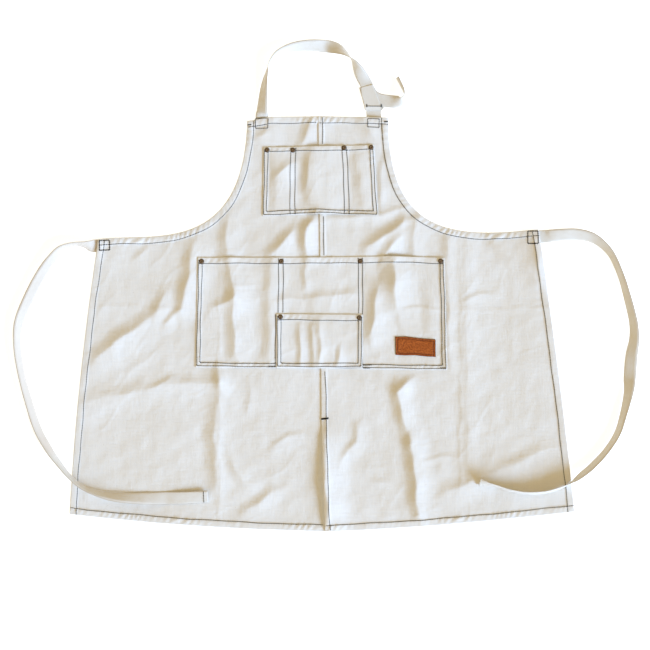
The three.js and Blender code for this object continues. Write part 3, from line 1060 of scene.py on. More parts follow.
@dataclass
class ClothSheet:
    """A cut and hemmed piece of cloth, lying on a height field."""

    name: str
    outline: Outline
    under: HeightAt
    thickness: float = CLOTH
    spacing: float = 3.0
    hem_extra: float = HEM_EXTRA
    pucker: float = 0.9
    pucker_pitch: float = 13.0
    pucker_slant: float = 0.24
    pucker_margin: float = 2.0
    tail: float = 14.0
    tail_share: float = 0.3
    hem_start: float = 2.6
    hem_ease: float = 5.0
    rings: tuple[float, ...] = (0.9, 2.4)
    rim_clear: float = 0.45
    ring_clear: float = 0.42
    merge: float = 1e-5
    edge_round: float = 0.24

    def hem_rise(self, points: Array) -> Array:
        """What the turned edges add, with the puckers that the stitching draws in them.

        Args:
            points: Rows of x and y.

        Returns:
            The added heights.
        """
        rise = np.zeros(len(points))
        slant = -math.copysign(self.pucker_slant, self.outline.signed_area)
        drift_run, sway_run = PUCKER_RUNS
        for (width, share), lines in self.outline.hems().items():
            depth, place = nearest(points, lines)
            band = 1.0 - smooth((depth - width + self.hem_start) / self.hem_ease)
            wander = sum(size * np.sin(place / run) for size, run in PUCKER_WANDER)
            wrinkle = np.sin(2.0 * math.pi * place / self.pucker_pitch + wander + depth * slant)
            middle = np.sin(math.pi * np.clip(depth / (width + self.pucker_margin), 0.0, 1.0))
            spent = np.clip(1.0 - (depth - width) / self.tail, 0.0, 1.0)
            drift = np.sin(place / drift_run + 2.0 * np.sin(place / sway_run))
            strength = PUCKER_MEAN + PUCKER_SWING * drift
            outside = np.where(depth > width, self.tail_share * spent**2, middle) * strength
            drawn = share * self.pucker * (1.0 + wrinkle) * outside
            rise = np.maximum(rise, self.hem_extra * band + drawn)
        return rise

    def top(self, x: Array, y: Array) -> Array:
        """Height of the upper face.

        Args:
            x: Across positions.
            y: Along positions.

        Returns:
            The heights.
        """
        return self.under(x, y) + self.thickness + self.hem_rise(np.stack([x, y], axis=1))

    def _plan(self) -> tuple[Array, Array]:
        """Lays points over the outline and joins them.

        Returns:
            The plan points, and the triangles between them.
        """
        loop = self.outline.loop
        step = self.spacing
        low = loop.min(axis=0)
        high = loop.max(axis=0)
        rows = np.arange(low[1], high[1], step * math.sqrt(0.75))
        columns = np.arange(low[0], high[0], step)
        grid_x, grid_y = np.meshgrid(columns, rows)
        grid_x = grid_x + (np.arange(len(rows)) % 2)[:, None] * step / 2.0
        lattice = np.stack([grid_x.ravel(), grid_y.ravel()], axis=1)
        lattice = lattice[inside(lattice, loop)]
        depth, _ = nearest(lattice, [self.outline.closed()])
        rings = list(self.rings)
        for width in sorted({edge.hem for edge in self.outline.edges if edge.hem > 0.0}):
            rings += [width + offset for offset in HEM_RINGS]
        clear = depth > self.rim_clear * step
        for ring in rings:
            clear &= np.abs(depth - ring) > self.ring_clear * step
        layers = [loop, *(self.outline.inset(ring) for ring in rings), lattice[clear]]
        points = np.concatenate(layers)
        count = len(loop)
        border = [(k, (k + 1) % count) for k in range(count)]
        spots = [Vector((float(x), float(y))) for x, y in points]
        plan, _, faces, *_ = delaunay_2d_cdt(spots, border, [], 1, self.merge)
        return np.array([tuple(p) for p in plan]), np.array(faces, dtype=np.int64)

    def build(self) -> bpy.types.Object:
        """Makes the sheet: an upper and a lower face joined by a rounded edge.

        Returns:
            The object.
        """
        plan, faces = self._plan()
        spin = np.cross(plan[faces[:, 1]] - plan[faces[:, 0]], plan[faces[:, 2]] - plan[faces[:, 0]])
        faces = np.where((spin < 0.0)[:, None], faces[:, ::-1], faces)
        count = len(plan)
        low = self.under(plan[:, 0], plan[:, 1])
        high = low + self.thickness + self.hem_rise(plan)
        sides = np.concatenate([faces[:, [0, 1]], faces[:, [1, 2]], faces[:, [2, 0]]])
        back = set(map(tuple, sides[:, ::-1]))
        rim = np.array([side for side in map(tuple, sides) if side not in back])
        edge = np.unique(rim)
        round_off = self.edge_round * (high[edge] - low[edge])
        low[edge] += round_off
        high[edge] -= round_off
        upper = np.column_stack([plan, high])
        lower = np.column_stack([plan, low])
        walls = np.column_stack([rim[:, 1], rim[:, 0], rim[:, 0] + count, rim[:, 1] + count])
        blocks = [faces, faces[:, ::-1] + count, walls]
        return mesh_object(self.name, np.concatenate([upper, lower]), blocks)


# Stitching


@dataclass
class Stitching:
    """Rows of stitches: each one a short bar of thread whose ends go down into the cloth."""

    pitch: float = 3.4
    length: float = 3.0
    thread: float = 1.5
    wander: float = 0.5
    wander_run: float = 27.0
    quiver: float = 0.7
    quiver_run: float = 11.0
    unsteady: float = 0.035
    tack_step: float = 0.8
    sides: int = 6
    sections: tuple[tuple[float, float, float], ...] = (
        (-0.5, 0.55, -0.45),
        (-0.3, 1.0, 0.12),
        (0.3, 1.0, 0.12),
        (0.5, 0.55, -0.45),
    )

    def along(self, line: Sequence[Sequence[float]]) -> Array:
        """Stitches along a line.

        Args:
            line: Points of x and y.

        Returns:
            Rows of x, y, heading and length, one for each stitch.
        """
        points = resample(np.asarray(line, float), self.pitch)
        place = np.arange(len(points)) * self.pitch + points[0].sum()
        drift = np.sin(place / self.wander_run) + self.quiver * np.sin(place / self.quiver_run)
        stray = self.wander * drift
        points = points + leftwards(tangents(points)) * stray[:, None]
        middle = (points[1:] + points[:-1]) / 2.0
        run = points[1:] - points[:-1]
        heading = np.arctan2(run[:, 1], run[:, 0])
        return np.column_stack([middle, heading, np.full(len(middle), self.length)])

    def box(self, x1: float, y1: float, x2: float, y2: float) -> Array:
        """Stitches round a rectangle."""
        corners = [(x1, y1), (x2, y1), (x2, y2), (x1, y2), (x1, y1)]
        return np.concatenate([self.along(pair) for pair in zip(corners[:-1], corners[1:])])

    def tack(self, x1: float, y1: float, x2: float, y2: float, width: float) -> Array:
        """A bar tack: close stitches across a short line.

        Args:
            x1: Start across.
            y1: Start along.
            x2: End across.
            y2: End along.
            width: Length of each stitch.

        Returns:
            Rows of x, y, heading and length.
        """
        count = int(math.hypot(x2 - x1, y2 - y1) / (self.tack_step * self.thread))
        heading = math.atan2(y2 - y1, x2 - x1) + math.pi / 2.0
        spots = np.column_stack([np.linspace(x1, x2, count), np.linspace(y1, y2, count)])
        return np.column_stack([spots, np.full(count, heading), np.full(count, width)])

    def build(self, name: str, bars: Sequence[Array], top: HeightAt) -> bpy.types.Object:
        """Makes all the stitches of one piece as one mesh.

        Args:
            name: The object's name.
            bars: Blocks of rows of x, y, heading and length.
            top: Height of the cloth that they are sewn on.

        Returns:
            The object.
        """
        rows = np.concatenate(bars)
        draw = np.random.default_rng(SEED)
        rows[:, 2] += draw.normal(0.0, self.unsteady, len(rows))
        forward = np.column_stack([np.cos(rows[:, 2]), np.sin(rows[:, 2])])
        turns = 2.0 * math.pi * np.arange(self.sides) / self.sides
        rings = []
        for share, girth, lift in self.sections:
            spot = rows[:, :2] + forward * (rows[:, 3] * share)[:, None]
            radius = self.thread / 2.0 * girth
            z = top(spot[:, 0], spot[:, 1]) + lift * self.thread
            side = np.cos(turns) * radius
            x = spot[:, :1] - forward[:, 1:] * side
            y = spot[:, 1:] + forward[:, :1] * side
            rings.append(np.stack([x, y, z[:, None] + np.sin(turns) * radius], axis=2))
        vertices = np.stack(rings, axis=1).reshape(-1, 3)
        walls = tube_walls(len(self.sections), self.sides)
        first = np.arange(self.sides)[::-1]
        last = np.arange(self.sides) + (len(self.sections) - 1) * self.sides
        offset = (np.arange(len(rows)) * len(self.sections) * self.sides)[:, None, None]
        blocks = [(walls[None] + offset).reshape(-1, 4)]
        blocks += [(cap[None, None] + offset).reshape(-1, self.sides) for cap in (first, last)]
        return mesh_object(name, vertices, blocks)


# The body


class PanelCut(NamedTuple):
    """Points of a panel's outer edges, each edge starting where the one before ends."""

    yoke: Line
    armhole: Line
    flank: Line
    hem: Line


CUTS = {
    Side.LEFT: PanelCut(
        yoke=((-104, 337.5), (-149.6, 329.1)),
        armhole=((-157.8, 51.5), (-346.1, 108.7), (-447.2, 93.1)),
        flank=((-490, -182), (-504.8, -456.9)),
        hem=((-260, -486),),
    ),
    Side.RIGHT: PanelCut(
        yoke=((132.8, 336.1),),
        armhole=((132.0, 100.8), (260.5, 93.7), (432.4, 113.1)),
        flank=((476.6, -169.4), (504.8, -451.9)),
        hem=((206, -485.9),),
    ),
}

# Corners of the boxes sewn over the tape ends; those at the waist are sewn twice
SEWN_BOXES = {
    Side.LEFT: (
        (-133, 334.1, -108.4, 315.3), (-445.6, 91.0, -424.6, 70.7), (-444.8, 90.2, -425.4, 71.5),
    ),
    Side.RIGHT: (
        (91.4, 333.5, 114.8, 316.5), (410.8, 109.4, 431.5, 84.0), (411.6, 108.6, 430.7, 84.8),
    ),
}

# Ends of the bar tacks and the length of their stitches
BAR_TACKS = {
    Side.LEFT: ((-148, 321.3, -142, 321.8, 2.6),),
    Side.RIGHT: ((-1.0, -266.6, 12.4, -264.8, 4.2), (125, 327.6, 131, 327.9, 2.6)),
}


@dataclass
class Body:
    """The two panels, lapped at a centre seam that opens into a slit below a bar tack."""

    finishes: Finishes
    lie: ClothLie
    stitching: Stitching
    armhole_pucker: float = 1.25
    flank_pucker: float = 0.35
    seam_pucker: float = 0.4
    seam_hem: float = HEM_WIDTH - 1.0
    left_stop: float = -1.0
    right_stop: float = 2.0
    spacing: float = 3.1
    seam_rows: tuple[Line, ...] = (
        ((0.8, 336.5), (0.8, 283.5)),
        ((3.2, 138.5), (3.2, 60.5)),
        ((6, -171.5), (8.6, -248.5), (11.2, -372.5), (14, -448.5), (17, -488.5)),
    )
    sheets: dict[Side, ClothSheet] = field(default_factory=dict)

    def _edges(self, side: Side) -> list[Edge]:
        """Edges of one panel, from the seam round the bib, armhole, side and hem back to the seam.

        Args:
            side: The panel.

        Returns:
            The edges in order.
        """
        left = side is Side.LEFT
        seam = LAP_EDGE + ((LAP, 0.0) if left else (0.0, 0.0))
        cut = CUTS[side]
        return [
            Edge(np.array([seam[0], *cut.yoke]), HEM_WIDTH),
            Edge(bezier(cut.yoke[-1], *cut.armhole), HEM_WIDTH, self.armhole_pucker),
            Edge(bezier(cut.armhole[-1], *cut.flank), HEM_WIDTH, self.flank_pucker),
            Edge(bezier(cut.flank[-1], *cut.hem, seam[-1]), HEM_WIDTH),
            Edge(seam[::-1], 0.0 if left else self.seam_hem, self.seam_pucker),
        ]

    def _hem_rows(self, sheet: ClothSheet, side: Side) -> list[Array]:
        """Lines of the hem stitching along the outer edges of a panel, each run out to the next edge.

        Args:
            sheet: The panel's sheet.
            side: The panel.

        Returns:
            The points of each line.
        """
        rows = []
        turn = math.copysign(HEM_WIDTH, sheet.outline.signed_area)
        for edge in sheet.outline.edges[:-1]:
            line = edge.points + leftwards(tangents(edge.points)) * turn
            away = line[:, 0] - lap_at(line[:, 1])
            keep = away < self.left_stop if side is Side.LEFT else away > self.right_stop
            keep &= inside(line, sheet.outline.loop)
            rows.append(line[keep])
        return rows

    def build(self) -> None:
        """Makes both panels and their stitching."""
        for side in Side:
            left = side is Side.LEFT
            outline = Outline(self._edges(side), self.spacing)
            under = self.lie.body if left else self.lie.right
            sheet = ClothSheet(f"{side.value}_panel_cloth", outline, under, spacing=self.spacing)
            self.sheets[side] = sheet
            cloth = self.finishes.dress(sheet.build(), Slot.CANVAS, f"{side.value}_panel")
            rows = self._rows(side, sheet)
            thread = self.stitching.build(f"{side.value}_panel_stitches", rows, sheet.top)
            self.finishes.dress(thread, Slot.THREAD)

    def _rows(self, side: Side, sheet: ClothSheet) -> list[Array]:
        """All the stitches of a panel.

        Args:
            side: The panel.
            sheet: Its sheet.

        Returns:
            Blocks of stitches.
        """
        sew = self.stitching
        rows = [sew.along(row) for row in self._hem_rows(sheet, side)]
        rows += [sew.box(*box) for box in SEWN_BOXES[side]]
        rows += [sew.tack(*tack) for tack in BAR_TACKS[side]]
        if side is Side.RIGHT:
            rows += [sew.along(row) for row in self.seam_rows]
        return rows

    def top(self, x: Array, y: Array) -> Array:
        """Height of the upper face of the body, zero off the cloth.

        Args:
            x: Across positions.
            y: Along positions.

        Returns:
            The heights.
        """
        points = np.stack([x, y], axis=1)
        heights = np.zeros(len(points))
        for sheet in self.sheets.values():
            on = inside(points, sheet.outline.loop)
            if on.any():
                heights[on] = np.maximum(heights[on], sheet.top(x[on], y[on]))
        return heights


# Pockets


@dataclass
class Pocket:
    """A patch pocket: its outline from the top left corner, its mouth hem and its rows of stitching."""

    node: str
    corners: Line
    mouth_count: int
    mouth_hem: float
    side_hem: float
    dividers: tuple[Line, ...]
    rests_on: tuple[str, ...]
    backstitches: tuple[Line, ...] = ()
    inner_row: float = 8.6
    outer_row: float = 2.3
    mouth_lift: float = 0.6
    row_clear: float = 0.5
    hem_extra: float = 0.7
    pucker: float = 0.4
    spacing: float = 2.3

    def build(self, finishes: Finishes, under: HeightAt, stitching: Stitching) -> ClothSheet:
        """Makes the pocket and its stitching.

        Args:
            finishes: The materials.
            under: Height of its underside.
            stitching: The way of sewing.

        Returns:
            The pocket's sheet.
        """
        mouth = np.array(self.corners[:self.mouth_count])
        rest = np.array([*self.corners[self.mouth_count - 1:], self.corners[0]])
        walls = [Edge(rest[k:k + 2], self.side_hem) for k in range(len(rest) - 1)]
        outline = Outline([Edge(mouth, self.mouth_hem), *walls], self.spacing)
        sheet = ClothSheet(
            f"{self.node}_cloth",
            outline,
            under,
            spacing=self.spacing,
            hem_extra=self.hem_extra,
            pucker=self.pucker,
        )
        cloth = finishes.dress(sheet.build(), Slot.CANVAS, self.node)
        thread = stitching.build(f"{self.node}_stitches", self._rows(outline, stitching), sheet.top)
        finishes.dress(thread, Slot.THREAD)
        return sheet

    def _rows(self, outline: Outline, stitching: Stitching) -> list[Array]:
        """Stitches of the mouth, the sewn sides and the dividers.

        Args:
            outline: The pocket's outline.
            stitching: The way of sewing.

        Returns:
            Blocks of stitches.
        """
        mouth = resample(np.array(self.corners[:self.mouth_count]), self.spacing)
        rows = [stitching.along(mouth[1:-1] - (0.0, self.mouth_hem - self.mouth_lift))]
        for width in (self.inner_row, self.outer_row):
            line = outline.inset(width)
            away, _ = nearest(line, [mouth])
            below = line[away > width + self.row_clear]
            rows.append(stitching.along(below))
        rows += [stitching.along(line) for line in self.dividers + self.backstitches]
        return rows


BIB_POCKET = Pocket(
    node="bib_pocket",
    corners=((-116.8, 276.9), (103.2, 281.5), (112.4, 140.3), (-5, 144), (-119.2, 139.5)),
    mouth_count=2,
    mouth_hem=9.6,
    side_hem=9.5,
    dividers=(
        ((-63, 275.5), (-63.6, 142)),
        ((-52.8, 275.8), (-54, 142.5)),
        ((40.4, 278), (45.4, 143.5)),
        ((49, 278.2), (55.4, 143)),
    ),
    rests_on=("left_panel", "right_panel"),
)
LOWER_POCKET = Pocket(
    node="lower_pocket",
    corners=((-248, 56.5), (-6, 57), (138, 59.5), (244.4, 56.3), (250, -168.1), (-253, -162.5)),
    mouth_count=4,
    mouth_hem=12.8,
    side_hem=9.5,
    dividers=(
        ((-86, 54.5), (-88, -54)),
        ((-77, 54.5), (-78.4, -54)),
        ((73, 56), (73, -55)),
        ((81.2, 56), (80.8, -163)),
        ((-93.2, -57), (-93.4, -162)),
    ),
    rests_on=("left_panel", "right_panel"),
    backstitches=(
        ((82, -158.6), (100, -158.4)),
        ((82, -164.4), (96, -164.6)),
        ((236, -164), (247, -164.4)),
        ((-107, -161), (-93, -161.4)),
    ),
)
CENTRE_POCKET = Pocket(
    node="centre_pocket",
    corners=((-90.8, -55.9), (81.2, -57.3), (80.8, -164), (-91.2, -163.4)),
    mouth_count=2,
    mouth_hem=12.8,
    side_hem=8.5,
    dividers=(),
    rests_on=("lower_pocket",),
)


# Tapes


class TapeStop(NamedTuple):
    """A point on a tape's route.

    It holds the place, the roll about the route, the ground's height, and whether it lies on the cloth.
    """

    x: float
    y: float
    roll: float = 0.0
    base: float = 0.0
    cloth: float = 0.0


LEFT_TIE = [TapeStop(*row) for row in (
    (-414, 80.5, 0),
    (-451, 80, 0),
    (-463, 79.5, -36),
    (-475, 80.5, -62),
    (-490, 82, -74),
    (-508, 78.5, -70),
    (-523, 70, -58),
    (-537.5, 54, -48),
    (-553, 33.5, -42),
    (-571, 3, -38),
    (-589.5, -35.5, -40),
    (-603, -69.5, -48),
    (-607, -100, -56),
    (-605, -139, -60),
    (-596.5, -185, -62),
    (-583.5, -233, -58),
    (-566.5, -285, -56),
    (-547, -321, -58),
    (-527, -350, -66, 0, 1),
    (-502, -381, -76, 0, 1),
    (-476, -401.5, -74, 0, 1),
    (-443, -414.5, -64, 0, 1),
    (-404, -421.5, -44, 0, 1),
    (-344, -424.5, -14, 0, 1),
    (-284, -424, 8, 0, 1),
    (-228, -421.5, 14, 0, 1),
)]
RIGHT_TIE = [TapeStop(*row) for row in (
    (400, 97.5, 0),
    (442, 98.4, 0),
    (458, 99.8, 13),
    (481, 101.6, 22),
    (508, 102, 27),
    (536, 96, 40),
    (559, 81, 54),
    (576, 62, 62),
    (589, 35, 65),
    (600, 5, 63),
    (610.5, -33, 58),
    (620, -73, 53),
    (622, -105, 44),
    (618, -139, 24),
    (615, -178, 18),
    (610.5, -213, 46),
    (601, -253, 61),
    (588.5, -293, 65),
    (567.5, -327, 67),
    (540, -357, 65, 0, 1),
    (514, -379, 70, 0, 1),
    (496, -393, 90, 0, 1),
    (476, -404, 102, 0, 1),
    (446, -413, 104, 0, 1),
    (412, -415, 104, 0, 1),
    (378, -410, 102, 0, 1),
    (348, -400.5, 101, 0, 1),
    (330, -396, 108, 0, 1),
    (314, -391.4, 134, 0, 1),
)]
NECK_STRAP = [TapeStop(*row) for row in (
    (-120, 316, 0),
    (-120, 338, 0),
    (-120.2, 345.5, -26),
    (-120.3, 362, -40),
    (-118.9, 384, -50),
    (-115.5, 408, -65),
    (-111.2, 425, -78),
    (-107.3, 438, -90),
    (-98.5, 449.5, -107),
    (-84, 463, -124),
    (-60, 473.5, -136),
    (-34, 478.5, -148),
    (-8, 479.4, -158),
    (20, 477, -190),
    (41, 469, -228),
    (57, 455, -266),
    (71, 432, -318),
    (86, 407.5, -360, 1.5),
    (93, 392.5, -360, 1.5),
    (101, 380.5, -360, 1.5),
    (112, 373.1, -360, 1.5),
    (125, 369.9, -360, 1.5),
    (138, 368.3, -356, 0.8),
    (150, 367.5, -336),
    (161, 370, -308),
    (165.5, 378, -280),
    (163, 389, -266),
    (157, 401.5, -262),
    (150, 415.5, -262),
)]


@dataclass
class Tape:
    """A flat woven tape that follows a route, turning about it, with a turned and sewn free end."""

    name: str
    route: list[TapeStop]
    width: float = TAPE_WIDTH
    thickness: float = TAPE
    step: float = 2.0
    across: int = 20
    curl: float = 2.0
    turned_end: float = 11.0
    ramp: float = 26.0
    spline_steps: int = 24
    ease_share: float = 0.6
    curl_gain: float = 1.5
    feelers: tuple[float, ...] = (-1.0, -0.6, -0.2, 0.2, 0.6, 1.0)
    edge_start: float = 0.9
    edge_ease: float = 0.1
    edge_thinning: float = 0.62
    turned_swell: float = 0.55
    turned_ease: float = 1.5
    turned_face: float = 0.75
    wobbles: tuple[tuple[float, float, float], ...] = ((0.35, 13.0, 0.0), (0.25, 7.1, 1.0))
    droop_start: float = 0.7
    droop_ease: float = 0.3
    droop_turn: float = 3.0
    table_clear: float = 0.02
    cloth_share: float = 0.02
    least_lift: float = 0.01
    row_inset: float = 2.0
    row_share: float = 0.92
    stations: Array | None = None
    wide: Array | None = None
    thick: Array | None = None
    bend: Array | None = None

    def lay(self, ground: HeightAt) -> None:
        """Works out the centreline and the two directions of the section.

        Args:
            ground: Height of the upper face of what the tape can lie on.
        """
        rows = self._rows()
        roll = np.radians(rows[:, 2])
        run = tangents(rows[:, :2])
        side = np.column_stack([leftwards(run), np.zeros(len(run))])
        level = np.maximum(rows[:, 3], self._ground_level(rows, side, roll, ground))
        self.bend = self.curl * np.clip(self.curl_gain * np.abs(np.sin(roll)), 0.0, 1.0)
        upright = self.width / 2.0 * np.abs(np.sin(roll))
        rest = upright + (self.thickness / 2.0 + self.bend) * np.abs(np.cos(roll))
        span = int(self.ease_share * self.ramp / self.step)
        eased = np.convolve(np.pad(level + rest, span, mode="edge"), easing(span), mode="valid")
        self.stations = np.column_stack([rows[:, :2], np.maximum(eased, level + rest)])
        forward = tangents(self.stations)
        up = np.cross(forward, side)
        self.wide = side * np.cos(roll)[:, None] + up * np.sin(roll)[:, None]
        self.thick = up * np.cos(roll)[:, None] - side * np.sin(roll)[:, None]

    def _rows(self) -> Array:
        """The route's rows at the tape's own step."""
        rows = spline(np.array(self.route, float), self.spline_steps)
        reach = np.concatenate([[0.0], np.cumsum(np.hypot(*np.diff(rows[:, :2], axis=0).T))])
        wanted = np.linspace(0.0, reach[-1], int(reach[-1] / self.step) + 1)
        return np.column_stack([np.interp(wanted, reach, column) for column in rows.T])

    def _ground_level(self, rows: Array, side: Array, roll: Array, ground: HeightAt) -> Array:
        """Height that the tape's lowest edge rests on, eased along it.

        Args:
            rows: The route's rows.
            side: Level direction across the route.
            roll: Turn about the route.
            ground: Height of the cloth.

        Returns:
            The level at each row.
        """
        on_cloth = rows[:, 4] > self.cloth_share
        level = np.zeros(len(rows))
        spread = self.width / 2.0 * np.abs(np.cos(roll)) + self.thickness
        for share in self.feelers:
            spots = rows[on_cloth, :2] + side[on_cloth, :2] * (spread[on_cloth] * share)[:, None]
            level[on_cloth] = np.maximum(level[on_cloth], ground(spots[:, 0], spots[:, 1]))
        span = int(self.ramp / self.step)
        padded = np.pad(level, span, mode="edge")
        window = np.lib.stride_tricks.sliding_window_view(padded, 2 * span + 1)
        highest = np.pad(window.max(axis=1), span, mode="edge")
        eased = np.lib.stride_tricks.sliding_window_view(highest, 2 * span + 1) @ easing(span)
        return np.where(eased > self.least_lift, eased + GAP, eased)

    def off_cloth(self) -> Array:
        """One at the vertices of the stretch that lies off the cloth, easing to none on it."""
        return np.repeat(1.0 - smooth(self._rows()[:, 4]), 2 * (self.across + 1))

    def length(self) -> float:
        """Length of the centreline."""
        return float(np.linalg.norm(np.diff(self.stations, axis=0), axis=1).sum())

    def build(self) -> bpy.types.Object:
        """Sweeps the section along the centreline.

        Returns:
            The tape object.
        """
        count = len(self.stations)
        along = np.arange(count) * self.length() / (count - 1)
        shares = np.linspace(-1.0, 1.0, self.across + 1)
        full = 1.0 - self.edge_thinning * smooth((np.abs(shares) - self.edge_start) / self.edge_ease)
        past = along - along[-1] + self.turned_end
        turned = 1.0 + self.turned_swell * smooth(past / self.turned_ease)
        wobble = sum(size * np.sin(along / run + start) for size, run, start in self.wobbles)
        out = (shares * self.width / 2.0)[None, :, None]
        spine = self.stations[:, None, :] + self.wide[:, None, :] * out
        wave = wobble[:, None] * (shares**2 - 0.4) * 0.5
        spine = spine + self.thick[:, None, :] * wave[:, :, None]
        droop = self.bend * np.tanh(self.droop_turn * self.thick[:, 2])
        sag = droop[:, None] * smooth((np.abs(shares) - self.droop_start) / self.droop_ease)
        spine = spine - self.thick[:, None, :] * sag[:, :, None]
        half = self.thickness / 2.0 * full[None, :] * turned[:, None]
        offset = self.thick[:, None, :] * half[:, :, None]
        ring = np.concatenate([spine + offset, (spine - offset)[:, ::-1]], axis=1)
        ring[:, :, 2] = np.maximum(ring[:, :, 2], self.table_clear)
        size = ring.shape[1]
        u = np.concatenate([shares, shares[::-1]]) * self.width / 2.0
        weave = np.stack(np.broadcast_arrays(u[None, :], along[:, None]), axis=2).reshape(-1, 2)
        k = np.arange(size)
        walls = tube_walls(count, size)
        caps = [np.array([k[::-1]]), np.array([k + (count - 1) * size])]
        return mesh_object(self.name, ring.reshape(-1, 3), [walls, *caps], weave)

    def end_row(self, stitching: Stitching, name: str) -> bpy.types.Object:
        """Stitches across the turned free end, on the tape's upper face.

        Args:
            stitching: The way of sewing.
            name: The object's name.

        Returns:
            The stitches.
        """
        place = len(self.stations) - 1 - int((self.turned_end - self.row_inset) / self.step)
        centre = self.stations[place]
        wide = self.wide[place]
        reach = np.linspace(-self.row_share, self.row_share, 9)[:, None] * self.width / 2.0
        outer = math.copysign(1.0, self.thick[place][2]) * self.thick[place]
        line = centre + wide * reach + outer * self.thickness * self.turned_face
        bars = stitching.along(line[:, :2])

        def top(x: Array, y: Array) -> Array:
            """Height of the tape's face under the row."""
            level = (x - centre[0]) * wide[0] + (y - centre[1]) * wide[1]
            level = level / max(wide[0] ** 2 + wide[1] ** 2, 1e-6)
            return centre[2] + wide[2] * level + outer[2] * self.thickness * self.turned_face

        return stitching.build(name, [bars], top)


@dataclass
class Ties:
    """The two waist ties, sewn under the waist corners and lying loose round the sides."""

    finishes: Finishes
    stitching: Stitching
    left_length: float = 0.899
    right_length: float = 0.885
    sewn_stations: int = 12

    def build(self, ground: HeightAt) -> None:
        """Args:
            ground: Height of the cloth that their ends lie on.
        """
        for side, route, length in (
            (Side.LEFT, LEFT_TIE, self.left_length),
            (Side.RIGHT, RIGHT_TIE, self.right_length),
        ):
            tape = Tape(f"{side.value}_tie_tape", route)
            tape.lay(ground)
            tie = self.finishes.dress(tape.build(), Slot.TAPE, f"{side.value}_tie")
            # The left tie's stretch off the cloth carries painted shade, a darker colour that tones down
            # its face where the key light falls full on it
            if side is Side.LEFT:
                carry(tie, "washed", tape.off_cloth())
            row = tape.end_row(self.stitching, f"{side.value}_tie_stitches")
            self.finishes.dress(row, Slot.THREAD)
            LOG.info("%s: %.3f m long", tie.name, tape.length() * MM)
            path = tape.stations * MM


@dataclass
class NeckStrap:
    """The neck tape, sewn behind the left bib corner and drawn through the loop at the right."""

    finishes: Finishes

    def build(self, ground: HeightAt) -> None:
        """Makes the strap.

        Args:
            ground: Height of the cloth, which the strap does not lie on.
        """
        tape = Tape("neck_strap_tape", NECK_STRAP)
        tape.lay(ground)
        strap = self.finishes.dress(tape.build(), Slot.TAPE, "neck_strap")
        tape.length() * MM


